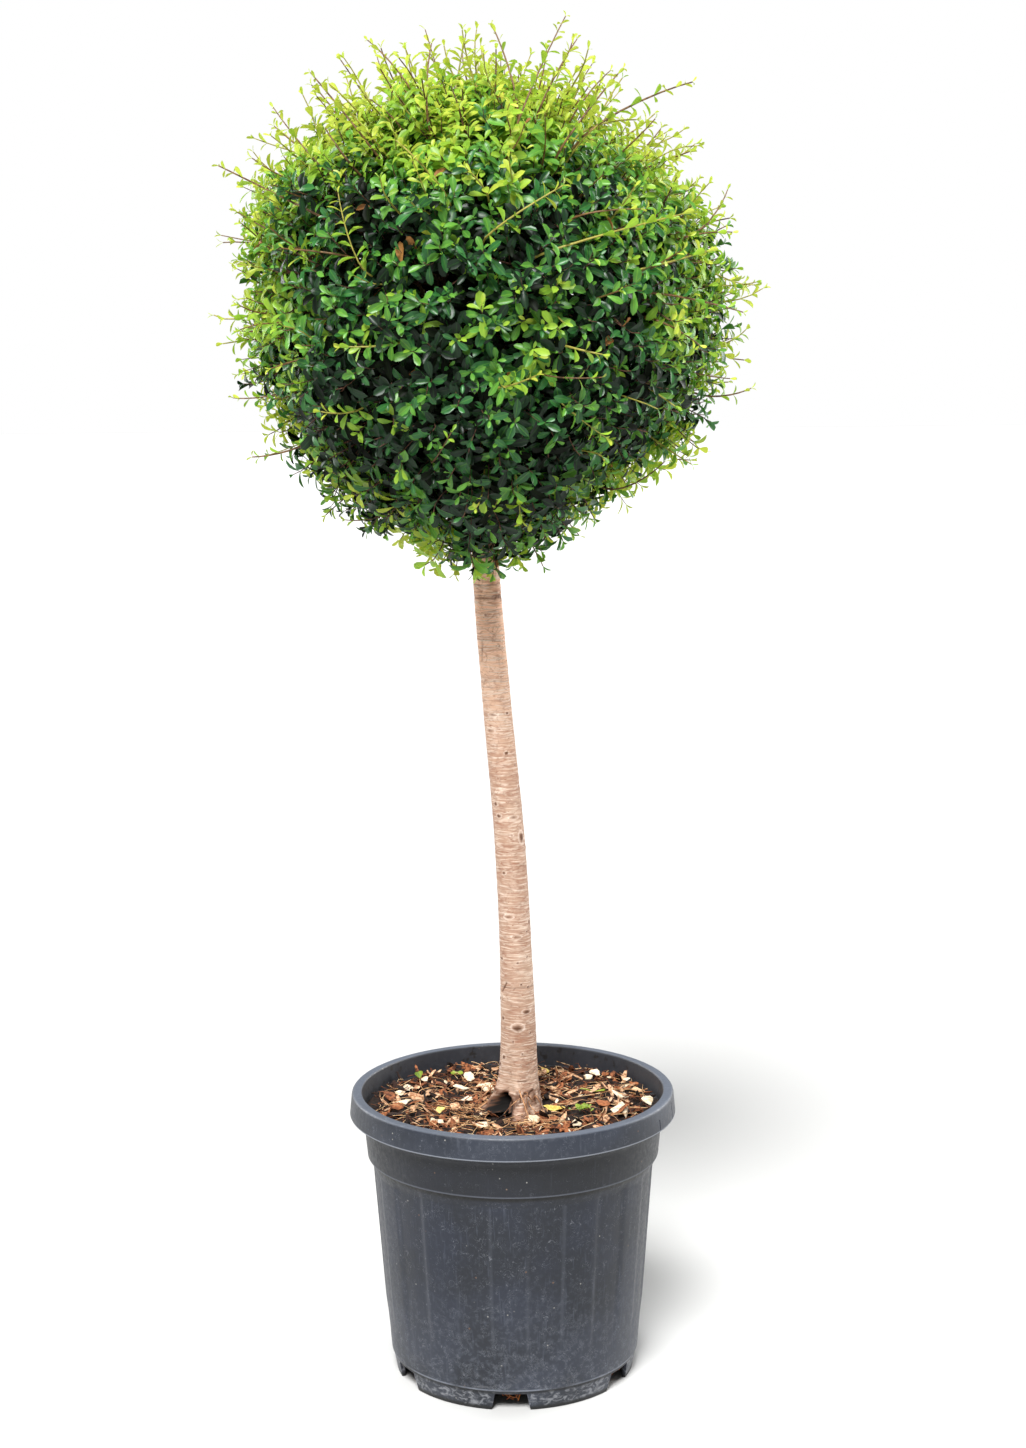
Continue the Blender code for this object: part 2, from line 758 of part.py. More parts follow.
def make_masses(cells, material):
    gathered = {}
    for cell in cells:
        parts = bpy.data.collections.new(f"parts_{cell['name']}")
        bpy.context.scene.collection.children.link(parts)
        gathered[cell["name"]] = parts
        root = cell["end"] + cell["arrive"] * SEAT_GAP
        tip = root + cell["arrive"] * STEM_LENGTH
        add_twig(root, tip, BOUGH_TIP_DIAMETER / 2, BOUGH_SIDES, parts, material)
    rng = random.Random(SEED + 2)
    short_size = (LEAF_LENGTH, LEAF_WIDTH, LEAF_THICKNESS)
    for direction, root, tip in short_shoots():
        cell = nearest_cell(direction, cells)
        parts = gathered[cell["name"]]
        add_shoot(cell, root, tip, TWIG_RADIUS, SHORT_JOINTS, short_size, rng, parts, material)
    long_size = (LONG_LEAF_LENGTH, LONG_LEAF_WIDTH, LONG_LEAF_THICKNESS)
    for direction, reach in long_shoots():
        cell = nearest_cell(direction, cells)
        root = CROWN_CENTRE + direction * (CORE_RADIUS - LONG_SUNK)
        tip = CROWN_CENTRE + direction * (reach - LONG_LEAF_LENGTH * LONG_TIP_SHARE)
        length = (tip - root).length
        pairs = max(1, int((length - LONG_SUNK) / LONG_PAIR_SPACING) + 1)
        joints = [
            (LONG_FIRST_JOINT - i * LONG_PAIR_SPACING / length, LONG_OPENING + LONG_OPENING_STEP * i)
            for i in range(pairs)
        ]
        parts = gathered[cell["name"]]
        add_shoot(cell, root, tip, LONG_TWIG_RADIUS, joints, long_size, rng, parts, material)
    for cell in cells:
        mass = make_core(cell, material)
        fuse(mass, gathered[cell["name"]])


def make_boughs(cells, material):
    for cell in cells:
        line = bough_line(
            cell["start"], cell["start_rise"], cell["end"], cell["arrive"], cell["outward"]
        )
        diameters = (cell["diameter"], BOUGH_TIP_DIAMETER)
        seated = cell["name"] != "top"
        make_bough(
            f"bough_{cell['name']}", line, cell["arrive"], diameters, cell["outward"], seated, material
        )


def main():
    clear_scene()
    make_pot(make_material("pot_plastic", (0.052, 0.058, 0.072), 0.55))
    make_mix(make_material("bark_mulch", (0.150, 0.075, 0.045), 0.90))
    make_trunk(make_material("trunk_bark", (0.480, 0.350, 0.250), 0.80))
    cells = make_cells()
    make_boughs(cells, make_material("bough_bark", (0.160, 0.095, 0.060), 0.80))
    make_masses(cells, make_material("leaves", (0.070, 0.190, 0.050), 0.45))


main()
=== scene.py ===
# %% [markdown]
# # A ball-headed standard shrub in its nursery pot
#
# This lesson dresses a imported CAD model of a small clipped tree: a black-grey plastic pot, bark
# mulch, a pale leaning trunk and a ball of small glossy leaves. The CAD solids give every place and
# every size. Each of them is replaced here by a finer mesh that follows the same rule, so the looks
# can be rich while the shape stays that of the model.

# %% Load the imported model
import json
import random
from math import cos, degrees, exp, hypot, pi, radians, remainder, sin, sqrt, tau

import bmesh
import bpy
import numpy as np
from mathutils import Matrix, Vector
from mathutils.noise import fractal, noise

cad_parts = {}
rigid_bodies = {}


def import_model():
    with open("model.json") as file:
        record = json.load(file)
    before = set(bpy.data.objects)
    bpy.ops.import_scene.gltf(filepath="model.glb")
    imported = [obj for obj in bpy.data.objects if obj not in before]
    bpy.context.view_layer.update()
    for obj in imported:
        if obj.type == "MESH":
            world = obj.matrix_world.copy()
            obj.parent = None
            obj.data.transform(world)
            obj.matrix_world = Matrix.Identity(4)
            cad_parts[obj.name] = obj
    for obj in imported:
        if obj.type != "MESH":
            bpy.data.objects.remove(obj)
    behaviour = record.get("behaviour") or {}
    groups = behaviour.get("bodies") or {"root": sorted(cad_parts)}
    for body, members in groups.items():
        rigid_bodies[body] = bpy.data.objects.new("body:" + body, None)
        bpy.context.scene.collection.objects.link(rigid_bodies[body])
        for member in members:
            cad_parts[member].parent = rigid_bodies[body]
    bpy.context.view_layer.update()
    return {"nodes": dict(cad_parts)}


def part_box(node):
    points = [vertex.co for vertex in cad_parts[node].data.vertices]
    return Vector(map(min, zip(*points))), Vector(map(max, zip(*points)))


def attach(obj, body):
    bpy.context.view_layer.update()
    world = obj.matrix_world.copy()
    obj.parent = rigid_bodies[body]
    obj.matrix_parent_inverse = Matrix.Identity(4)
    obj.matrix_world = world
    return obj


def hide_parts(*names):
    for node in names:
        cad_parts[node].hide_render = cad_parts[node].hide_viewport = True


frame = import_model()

foliage_nodes = sorted(name for name in frame["nodes"] if name.startswith("foliage_"))
bough_nodes = sorted(name for name in frame["nodes"] if name.startswith("bough_"))
print(len(foliage_nodes), "foliage masses on", len(bough_nodes), "boughs")

# %% [markdown]
# ## Camera, floor and light
#
# The camera stands about two metres away, at the height of the head, and looks slightly down. Small
# glossy leaves need a light with a direction, or each of them mirrors the same white and the gaps
# between them fill up. So most light comes from one wide lamp above and in front, like a bright
# patch of cloud. Two weaker lamps behind the plant, one on each side, draw its edges and shine
# through the leaves of the fringe, and a thin sky fills the shadows. The backdrop that the camera
# sees behind the plant is plain white.

# %% Camera
CAMERA_PLACE, CAMERA_TURN_DEG = (0.0, -2.1189, 0.9264), (81.330, 0.494, -0.167)
CAMERA_LENS_MM, SENSOR_MM = 59.17, 36.0


def into_scene(name, data):
    """An object made of this data, linked to the scene."""
    thing = bpy.data.objects.new(name, data)
    bpy.context.scene.collection.objects.link(thing)
    return thing


camera_data = bpy.data.cameras.new("studio_camera")
camera_data.lens, camera_data.sensor_width = CAMERA_LENS_MM, SENSOR_MM
camera = into_scene("studio_camera", camera_data)
camera.location = CAMERA_PLACE
camera.rotation_euler = [radians(turn) for turn in CAMERA_TURN_DEG]
bpy.context.scene.camera = camera
print("camera looks down by", round(90.0 - CAMERA_TURN_DEG[0], 1), "degrees")


# %% Helpers for colours, nodes and materials
MIX_FACTOR, MIX_A, MIX_B, MIX_RESULT = 0, 6, 7, 2


def from_hex(text):
    """An sRGB colour such as "4a8a35" as the linear RGBA that Blender's sockets take."""
    parts = [int(text[i : i + 2], 16) / 255 for i in (0, 2, 4)]
    linear = [p / 12.92 if p <= 0.04045 else ((p + 0.055) / 1.055) ** 2.4 for p in parts]
    return (*linear, 1.0)


def add_node(tree, kind, sockets=None, out=0, **settings):
    """A shader node with its settings and links: the output with this name or number is given."""
    node = tree.nodes.new("ShaderNode" + kind)
    for name, value in settings.items():
        setattr(node, name, value)
    for socket, value in (sockets or {}).items():
        if isinstance(value, bpy.types.NodeSocket):
            tree.links.new(value, node.inputs[socket])
        else:
            node.inputs[socket].default_value = value
    return node.outputs[out]


def blank_material(name, roughness, ior):
    """A material with its Principled shader, and that shader's uniform values set."""
    material = bpy.data.materials.new(name)
    material.use_nodes = True
    shader = material.node_tree.nodes["Principled BSDF"]
    shader.inputs["Roughness"].default_value = roughness
    shader.inputs["IOR"].default_value = ior
    return material, material.node_tree, shader


def paint(tree, colour, layers, values=None):
    """Layers laid over a colour. Each is a colour, its strength as a number or socket, and masks.
    A mask is the name of one of the values, where it hides the layer, and where it shows it all."""
    for over, share, *masks in layers:
        for name, none_at, full_at in masks:
            ends = {0: values[name], 1: none_at, 2: full_at}
            fade = add_node(tree, "MapRange", ends, interpolation_type="SMOOTHSTEP")
            share = add_node(tree, "Math", {0: fade, 1: share}, operation="MULTIPLY")
        sockets = {MIX_FACTOR: share, MIX_A: colour, MIX_B: from_hex(over)}
        colour = add_node(tree, "Mix", sockets, MIX_RESULT, data_type="RGBA")
    return colour


print("mid grey 808080 is", round(from_hex("808080")[0], 3), "in linear light")


# %% Helpers for meshes
def mesh_piece(name, points, faces, material, smooth=True):
    """An object from numpy points and faces, all faces having the same number of corners."""
    mesh = bpy.data.meshes.new(name)
    faces = np.ascontiguousarray(faces, np.int32)
    mesh.vertices.add(len(points))
    mesh.vertices.foreach_set("co", np.ascontiguousarray(points, np.float32).ravel())
    mesh.loops.add(faces.size)
    mesh.loops.foreach_set("vertex_index", faces.ravel())
    mesh.polygons.add(len(faces))
    starts = np.arange(0, faces.size, faces.shape[1], dtype=np.int32)
    mesh.polygons.foreach_set("loop_start", starts)
    mesh.update(calc_edges=True)
    mesh.validate()
    if smooth:
        mesh.shade_smooth()
    mesh.materials.append(material)
    return into_scene(name, mesh)


def ring_quads(rows, sides):
    """Quads between rows of points that each go once round: two points, and the two a row on."""
    row, side = np.meshgrid(np.arange(rows - 1), np.arange(sides), indexing="ij")
    base, after = row * sides, (side + 1) % sides
    corners = [base + side, base + after, base + sides + after, base + sides + side]
    return np.stack(corners, axis=-1).reshape(-1, 4)


print(len(ring_quads(3, 8)), "quads join 3 rings of 8 points")


# %% Floor
FLOOR_HALF, FLOOR_DROP = 30.0, 0.0002

floor_material, tree, shader = blank_material("matt_studio_paper", 0.9, 1.45)
grain = add_node(tree, "TexNoise", {"Scale": 0.8, "Detail": 2.0})
tone = paint(tree, from_hex("c2c2c0"), [("c8c8c7", grain)])
tree.links.new(tone, shader.inputs["Base Color"])
corners = np.array([(-1, -1, 0), (1, -1, 0), (1, 1, 0), (-1, 1, 0)]) * FLOOR_HALF
corners -= (0.0, 0.0, FLOOR_DROP)
floor = mesh_piece("studio_floor", corners, np.array([[0, 1, 2, 3]]), floor_material)
print("floor is", round(2.0 * FLOOR_HALF), "m wide")

# %% Sky and lamps
SKY_OVERHEAD, SKY_AT_HORIZON = 0.34, 0.17
# Name, strength, width in degrees, height above the level, bearing from the front towards +X.
LAMPS = (
    ("wide_key_lamp", 5.7, 22.0, 51.0, -12.0),
    ("left_edge_lamp", 1.8, 32.0, 20.0, -128.0),
    ("right_edge_lamp", 2.8, 39.0, 20.0, 122.0),
)
LAMPS_AWAY = 3.5

world = bpy.data.worlds.new("thin_cloud_sky")
world.use_nodes = True
sky = world.node_tree
look_up = add_node(sky, "TexCoord", out="Generated")
rise = add_node(sky, "SeparateXYZ", {"Vector": look_up}, "Z")
glow = add_node(sky, "MapRange", {0: rise, 1: 0.0, 2: 1.0, 3: SKY_AT_HORIZON, 4: SKY_OVERHEAD})
sky_light = sky.nodes["Background"]
sky_light.inputs["Color"].default_value = from_hex("fbfdff")
sky.links.new(glow, sky_light.inputs["Strength"])
backdrop = add_node(sky, "Background", {"Color": from_hex("ffffff"), "Strength": 1.0})
seen = add_node(sky, "LightPath", out="Is Camera Ray")
both = add_node(sky, "MixShader", {0: seen, 1: sky_light.outputs[0], 2: backdrop})
sky.links.new(both, sky.nodes["World Output"].inputs["Surface"])
bpy.context.scene.world = world

for name, strength, width, elevation, turn in LAMPS:
    lamp_data = bpy.data.lights.new(name, "SUN")
    lamp_data.energy, lamp_data.angle = strength, radians(width)
    lamp = into_scene(name, lamp_data)
    lamp.rotation_euler = (radians(90.0 - elevation), 0.0, radians(turn))
    lamp.location = lamp.rotation_euler.to_matrix() @ Vector((0.0, 0.0, LAMPS_AWAY))
bpy.context.scene.view_settings.view_transform = "Standard"
print("camera, floor, sky and", len(LAMPS), "lamps are in place")


# %% [markdown]
# ## Shared shape rules
#
# The trunk, the boughs and the pot repeat the CAD model's own rules, so that each finer mesh lies
# where its solid lies. Bearings are measured from the plant's front, which faces -Y, towards +X.

# %% Directions and tables
UP = Vector((0.0, 0.0, 1.0))
GOLDEN_ANGLE = pi * (3.0 - sqrt(5.0))


def bearing(angle):
    """The level direction at this angle from the front, turning towards +X."""
    return Vector((sin(angle), -cos(angle), 0.0))


def towards(angle, elevation):
    """The direction at this bearing and this angle above the level."""
    return bearing(angle) * cos(elevation) + UP * sin(elevation)


def clamped(value):
    """The value, kept from 0 to 1."""
    return min(max(value, 0.0), 1.0)


def along_table(table, key):
    """The value at key in a table of (key, value) rows, read along straight stretches."""
    for (low, first), (high, second) in zip(table, table[1:]):
        if key <= high:
            return first + (second - first) * (key - low) / (high - low)
    return table[-1][1]


print("the front faces", tuple(bearing(0.0)), "and the quarter turn", bearing(pi / 2).to_tuple(2))


# %% [markdown]
# ## The pot
#
# A nursery container of this size is injection-moulded polypropylene: a thin tapering wall with a
# broad skirted rim, a plain band under it, faint raised strips and a foot ring with drainage slots.
# It could be lathed with a Screw modifier. Here its profile is turned in code, because the strips
# need every wall point to know its bearing, and the profile's corners are rounded first so that
# each edge catches the light as a moulded edge does.

# %% Pot sizes
pot_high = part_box("pot")[1]
POT_HEIGHT = pot_high.z
SKIRT_RADIUS = pot_high.x
RIM_RADIUS = SKIRT_RADIUS - 0.0022
MOUTH_RADIUS = 0.1385
SKIRT_BOTTOM = 0.2439
SKIRT_THICKNESS = 0.0026
UNDER_RIM = 0.2575
BAND_TOP_RADIUS, BAND_TOP = 0.1371, 0.2367
BAND_BOTTOM_RADIUS, BAND_BOTTOM = 0.1341, 0.2055
BAND_UNDERCUT, BAND_LIP = 0.0105, 0.0012
WALL_TOP_RADIUS = 0.1287
WALL_THICKNESS = 0.0026
LEDGE_RISE, LEDGE_RADIUS = 0.0037, 0.1402
FOOT_LINE, FOOT_LINE_RADIUS = 0.0187, 0.1146
FOOT_INSET, FOOT_RADIUS, FOOT_THICKNESS = 0.0010, 0.1100, 0.0036
FLOOR_THICKNESS = 0.0025
PAD_RADIUS = 0.0300
STRIP_COUNT, STRIP_PROUD, STRIP_TOP = 12, 0.0011, 0.1925
STRIP_FULL, STRIP_FADED = 0.0700, 0.0480
STRIP_EDGE_DEG = 1.2
FIRST_STRIP = radians(-2.0)
SLOT_COUNT, SLOT_HEIGHT = 6, 0.0165
SLOT_TOP_WIDTH, SLOT_BOTTOM_WIDTH = 0.0285, 0.0350
HOLE_WIDTH, HOLE_DEPTH = 0.0180, 0.0100
POT_SIDES = 288
WALL_ROWS = 12


def wall_radius(height):
    """How far out the plain wall is at this height."""
    part = (height - FOOT_LINE) / (BAND_BOTTOM - FOOT_LINE)
    return FOOT_LINE_RADIUS + (WALL_TOP_RADIUS - FOOT_LINE_RADIUS) * part


def rounded(corners, steps=4):
    """A polyline of (radius, height, rounding) rows with each corner replaced by a small curve."""
    line = []
    for i, (radius, height, rounding) in enumerate(corners):
        here = Vector((radius, height))
        if rounding == 0.0 or i in (0, len(corners) - 1):
            line.append(here)
            continue
        before, after = Vector(corners[i - 1][:2]) - here, Vector(corners[i + 1][:2]) - here
        first = here + before.normalized() * min(rounding, before.length * 0.45)
        last = here + after.normalized() * min(rounding, after.length * 0.45)
        for step in range(steps + 1):
            t = step / steps
            line.append(first.lerp(here, t).lerp(here.lerp(last, t), t))
    return line


print("pot is", round(1000 * POT_HEIGHT), "mm tall and", round(2000 * SKIRT_RADIUS), "mm wide")


# %% Pot profile, from the middle of the underside round the outside and down the inside
floor_top = FOOT_LINE + FLOOR_THICKNESS
wall_heights = np.linspace(FOOT_LINE + 0.0030, STRIP_TOP, WALL_ROWS)
profile = rounded((
    (0.0, 0.0, 0.0),
    (PAD_RADIUS, 0.0, 0.0008),
    (PAD_RADIUS + 0.0020, FOOT_LINE, 0.0008),
    (FOOT_LINE_RADIUS - FOOT_INSET - FOOT_THICKNESS, FOOT_LINE, 0.0008),
    (FOOT_RADIUS - FOOT_THICKNESS, 0.0, 0.0006),
    (FOOT_RADIUS, 0.0, 0.0009),
    (FOOT_LINE_RADIUS - FOOT_INSET, FOOT_LINE, 0.0004),
    (FOOT_LINE_RADIUS, FOOT_LINE + 0.0008, 0.0005),
    *((wall_radius(height), height, 0.0) for height in wall_heights),
    (wall_radius(BAND_BOTTOM - BAND_UNDERCUT), BAND_BOTTOM - BAND_UNDERCUT, 0.0020),
    (BAND_BOTTOM_RADIUS - BAND_LIP, BAND_BOTTOM - 0.0004, 0.0002),
    (BAND_BOTTOM_RADIUS, BAND_BOTTOM, 0.0007),
    (BAND_TOP_RADIUS, BAND_TOP, 0.0030),
    (LEDGE_RADIUS, BAND_TOP + LEDGE_RISE, 0.0015),
    (LEDGE_RADIUS + 0.0008, UNDER_RIM, 0.0008),
    (SKIRT_RADIUS - SKIRT_THICKNESS - 0.0010, UNDER_RIM, 0.0008),
    (SKIRT_RADIUS - SKIRT_THICKNESS, SKIRT_BOTTOM, 0.0009),
    (SKIRT_RADIUS, SKIRT_BOTTOM, 0.0011),
    (RIM_RADIUS, POT_HEIGHT, 0.0034),
    (MOUTH_RADIUS, POT_HEIGHT, 0.0022),
    (LEDGE_RADIUS - WALL_THICKNESS, BAND_TOP + WALL_THICKNESS + LEDGE_RISE, 0.0),
    (BAND_TOP_RADIUS - WALL_THICKNESS, BAND_TOP + WALL_THICKNESS, 0.0015),
    (wall_radius(BAND_BOTTOM) - WALL_THICKNESS, BAND_BOTTOM, 0.0),
    (wall_radius(floor_top) - WALL_THICKNESS, floor_top, 0.0010),
    (0.0, floor_top, 0.0),
))
print("pot profile has", len(profile), "points")


# %% Strips and slots
def strip_share(angle):
    """1 on a raised strip and 0 between strips, with a soft edge about a degree wide."""
    pitch, edge = tau / STRIP_COUNT, radians(STRIP_EDGE_DEG)
    from_middle = abs(remainder(angle - FIRST_STRIP, pitch))
    t = clamped((pitch / 4 + edge / 2 - from_middle) / edge)
    return t * t * (3 - 2 * t)


def slot_block(turn, reach, half_widths, heights):
    """A cutter: a block across the wall that tapers from its lower to its upper width."""
    bm = bmesh.new()
    sizes = list(zip(half_widths, heights))
    spots = [
        bm.verts.new((side * half, -out, height))
        for out in reach for half, height in sizes for side in (-1, 1)
    ]
    bmesh.ops.convex_hull(bm, input=spots)
    bmesh.ops.transform(bm, matrix=Matrix.Rotation(turn, 4, "Z"), verts=bm.verts)
    mesh = bpy.data.meshes.new("slot_cutter")
    bm.to_mesh(mesh)
    bm.free()
    cutter = bpy.data.objects.new("slot_cutter", mesh)
    cutter.hide_render = True
    return cutter


print("each strip and each gap covers", round(degrees(pi / STRIP_COUNT)), "degrees of the wall")


# %% [markdown]
# The pot's plastic is weathered. The rim has gone blue-grey where hands and sun reach it, a pale
# haze lies on the wall and thickens towards the foot, the edges of the strips are worn pale and
# carry a painted highlight, fine scratches cross it, and specks of grit cling to it. Painted
# highlights also lie on the moulded edges. Painted shade lies on the band under the rim, under the
# band's edge and the foot line, along the foot's lowest edge and between the strips. All of it is
# drawn by noise in the object's own space, which needs no unwrapping. The noises are made from
# sizes in millimetres, and the weathering and the painted light are a table of layers of paint,
# each laid on where its masks agree.

# %% Noises of the pot
EVEN = (1.0, 1.0, 1.0)


def noise_at(tree, place, size_mm, stretch=EVEN, detail=3.0, curl=0.0):
    """Noise in the object's own space with features about this many millimetres across."""
    sized = add_node(tree, "Mapping", {"Vector": place, "Scale": stretch})
    sockets = {"Vector": sized, "Scale": 1000.0 / size_mm, "Detail": detail, "Distortion": curl}
    return add_node(tree, "TexNoise", sockets)


# Name: size in mm, stretch, detail and curl.
POT_NOISES = {
    "cloud": (62.0,),  # the sun bleaches plastic unevenly
    "flecks": (4.0, EVEN, 6.0),  # a dry haze
    "scuff": (2.4, (1.0, 1.0, 0.06), 2.0),  # upright scuffs 1 mm wide and some 20 mm long
    "curls": (9.0, EVEN, 1.0, 2.6),  # curly scratches lie where level lines of this noise run
    "patches": (8.0,),  # and they come in patches
    # Patches that break up the pale lines of wear and painted highlight on edges.
    "wear_and_highlight": (30.0, (1.0, 1.0, 0.25)),
    "splash": (9.0, EVEN, 5.0),
    "bloom": (9.0, (1.0, 1.0, 1.6), 6.0, 1.4),  # lime left by hard water
    "fine": (0.7, EVEN, 2.0),  # the mould's own texture
}
GRIT_PER_METRE = 170.0
finest, broadest = (end(row[0] for row in POT_NOISES.values()) for end in (min, max))
print(len(POT_NOISES), "noises, with features of", finest, "to", broadest, "mm")

# %% Layers of weathering, painted shade and painted highlights on the wall
HALF_PITCH = pi / STRIP_COUNT


def band(line, *offsets_mm):
    """Masks for a level band, at four heights in mm above a line: hidden, shown, shown, hidden."""
    low, low_full, high_full, high = (line + offset / 1000.0 for offset in offsets_mm)
    return ("height", low, low_full), ("height", high, high_full)


def curl_line(middle, half):
    """Masks for the thin line where the curled noise has this value."""
    return ("curls", middle - half, middle), ("curls", middle + half, middle)


LOW_DOWN = ("height", 0.150, 0.010)
ON_RIM = ("height", SKIRT_BOTTOM - 0.0022, SKIRT_BOTTOM - 0.0008)
ON_STRIPS = (("height", STRIP_FADED, STRIP_FULL), ("height", STRIP_TOP + 0.004, STRIP_TOP))
INSIDE = (("radius", MOUTH_RADIUS + 0.0010, MOUTH_RADIUS + 0.0002), ("height", 0.2400, 0.2412))
SCRATCHED = ("patches", 0.45, 0.58)
WALL_LAYERS = (
    ("1b202d", 1.0, ("cloud", 0.35, 0.65)),
    # Between the strips the wall lies in shade and keeps its dark tone.
    ("13151b", 0.18, ("aside", HALF_PITCH / 2 - 0.006, HALF_PITCH / 2 + 0.006), *ON_STRIPS),
    # The haze is thickest near the foot.
    ("727885", 0.07, ("flecks", 0.42, 0.80)),
    ("7e8490", 0.07, ("cloud", 0.25, 0.60), LOW_DOWN),
    ("7e8490", 0.08, ("flecks", 0.45, 0.75), LOW_DOWN),
    ("565c6a", 0.24, ("scuff", 0.58, 0.80)),
    ("a2a6ae", 0.26, *curl_line(0.50, 0.014), SCRATCHED),
    ("a2a6ae", 0.36, *curl_line(0.58, 0.014), SCRATCHED, LOW_DOWN),
    ("a2a6ae", 0.36, *curl_line(0.42, 0.014), SCRATCHED, LOW_DOWN),
    # The strips' edges are rubbed pale and carry a painted highlight.
    ("6d717b", 0.12, ("from_edge", 0.022, 0.002), ("wear_and_highlight", 0.35, 0.70), *ON_STRIPS),
    # The band lies in the rim's shade: it is painted darker, as painted shade.
    ("090b11", 0.60, ("height", BAND_BOTTOM - 0.0010, BAND_BOTTOM + 0.0010),
     ("height", SKIRT_BOTTOM, SKIRT_BOTTOM - 0.0010)),
    # Painted shadow lies under the band's lower edge, and the edge itself is painted pale as a
    # highlight.
    ("020203", 0.97, *band(BAND_BOTTOM, -6.0, -1.8, 0.0, 0.3)),
    ("5c606a", 0.55, *band(BAND_BOTTOM, 0.0, 0.4, 1.0, 2.0)),
)
print(len(WALL_LAYERS), "layers on the wall and the band")

# %% Layers on the rim, grit, lime, painted highlights and painted shade
RIM_LAYERS = (
    # The rim is bleached blue-grey, scratched and scuffed.
    ("1c2029", 1.0, ON_RIM),
    ("282d38", 1.0, ON_RIM, ("cloud", 0.35, 0.65)),
    ("6d717b", 0.14, ON_RIM, ("flecks", 0.50, 0.80)),
    ("8f95a1", 0.24, ON_RIM, *curl_line(0.500, 0.018), ("patches", 0.50, 0.60)),
    ("5a5f69", 0.22, ON_RIM, ("scuff", 0.58, 0.80)),
    # Its lower edge, a moulded line, is painted pale as a highlight, and its top is painted paler
    # as a highlight.
    ("a4a9b3", 0.45, *band(SKIRT_BOTTOM, -0.4, 0.2, 1.0, 1.7)),
    ("8d95a3", 0.30, ("height", POT_HEIGHT - 0.0022, POT_HEIGHT - 0.0003)),
    # The inner wall is darker, with splashes of earth.
    ("2b2c30", 0.80, *INSIDE),
    ("17130f", 0.80, *INSIDE, ("splash", 0.60, 0.66)),
)
GRIT_LIME_AND_SHADE_LAYERS = (
    # Grit a millimetre or two across on one cell in eighteen, and fewer crumbs of earth.
    ("b5b3ac", 0.50, ("to_grit", 0.15, 0.07), ("chance", 0.93, 0.96)),
    ("6a503c", 0.60, ("to_grit", 0.20, 0.12), ("other_chance", 0.975, 0.985)),
    # A streaky bloom of lime lies on the foot ring. Above the foot line the wall's lip is painted
    # pale as a highlight, broken by wear, and painted shade lies under it.
    ("8d8f94", 0.62, ("bloom", 0.46, 0.68), ("height", FOOT_LINE + 0.0004, FOOT_LINE - 0.0006)),
    ("8d8f94", 0.20, ("bloom", 0.52, 0.70), ("height", 0.040, 0.020)),
    ("868b96", 0.55, *band(FOOT_LINE, 0.4, 1.0, 1.8, 2.6), ("wear_and_highlight", 0.30, 0.60)),
    ("06070a", 0.75, *band(FOOT_LINE, -3.6, -1.2, 0.0, 0.5)),
    # The foot's lowest edge is painted near black, as a contact shadow.
    ("070707", 0.94, ("height", 0.0056, 0.0022)),
)
print(len(RIM_LAYERS), "layers on the rim, and", len(GRIT_LIME_AND_SHADE_LAYERS), "of grit, lime and dirt")


# %% Weathered polypropylene
def finish_shader(tree, shader, colour, *bumps):
    """Links a colour and its bumps, each on the last: what is high, strength, depth in metres."""
    tree.links.new(colour, shader.inputs["Base Color"])
    below = {}
    for height, strength, distance in bumps:
        sockets = {"Height": height, "Strength": strength, "Distance": distance, **below}
        below = {"Normal": add_node(tree, "Bump", sockets)}
    tree.links.new(below["Normal"], shader.inputs["Normal"])


def grey_polypropylene():
    """Injection-moulded polypropylene, matt and slightly waxy, gone hazy and scratched outdoors,
    with painted shade and painted highlights.
    """
    material, tree, shader = blank_material("polypropylene_weathered_with_painted_light", 0.5, 1.49)
    place = add_node(tree, "TexCoord", out="Object")
    values = {name: noise_at(tree, place, *row) for name, row in POT_NOISES.items()}
    parts = add_node(tree, "SeparateXYZ", {"Vector": place}).node.outputs
    values["height"] = parts["Z"]
    level = add_node(tree, "CombineXYZ", {"X": parts["X"], "Y": parts["Y"]})
    values["radius"] = add_node(tree, "VectorMath", {0: level}, "Value", operation="LENGTH")
    # How far round the wall a point is from the middle of the nearest strip, in radians.
    ahead = add_node(tree, "Math", {0: parts["Y"], 1: -1.0}, operation="MULTIPLY")
    turn = add_node(tree, "Math", {0: parts["X"], 1: ahead}, operation="ARCTAN2")
    turn = add_node(tree, "Math", {0: turn, 1: FIRST_STRIP}, operation="SUBTRACT")
    values["aside"] = add_node(tree, "Math", {0: turn, 1: HALF_PITCH}, operation="PINGPONG")
    edge = add_node(tree, "Math", {0: values["aside"], 1: HALF_PITCH / 2}, operation="SUBTRACT")
    values["from_edge"] = add_node(tree, "Math", {0: edge}, operation="ABSOLUTE")
    cells = add_node(tree, "TexVoronoi", {"Vector": place, "Scale": GRIT_PER_METRE}).node.outputs
    values["to_grit"] = cells["Distance"]
    chances = add_node(tree, "SeparateColor", {"Color": cells["Color"]}).node.outputs
    values["chance"], values["other_chance"] = chances[0], chances[1]
    layers = WALL_LAYERS + RIM_LAYERS + GRIT_LIME_AND_SHADE_LAYERS
    colour = paint(tree, from_hex("161a23"), layers, values)
    finish_shader(
        tree, shader, colour, (values["fine"], 0.12, 0.0004), (values["scuff"], 0.15, 0.0006)
    )
    dull = {0: values["flecks"], 1: 0.3, 2: 0.7, 3: 0.40, 4: 0.60}
    tree.links.new(add_node(tree, "MapRange", dull), shader.inputs["Roughness"])
    return material


pot_plastic = grey_polypropylene()
print("polypropylene has", len(pot_plastic.node_tree.nodes), "shader nodes")

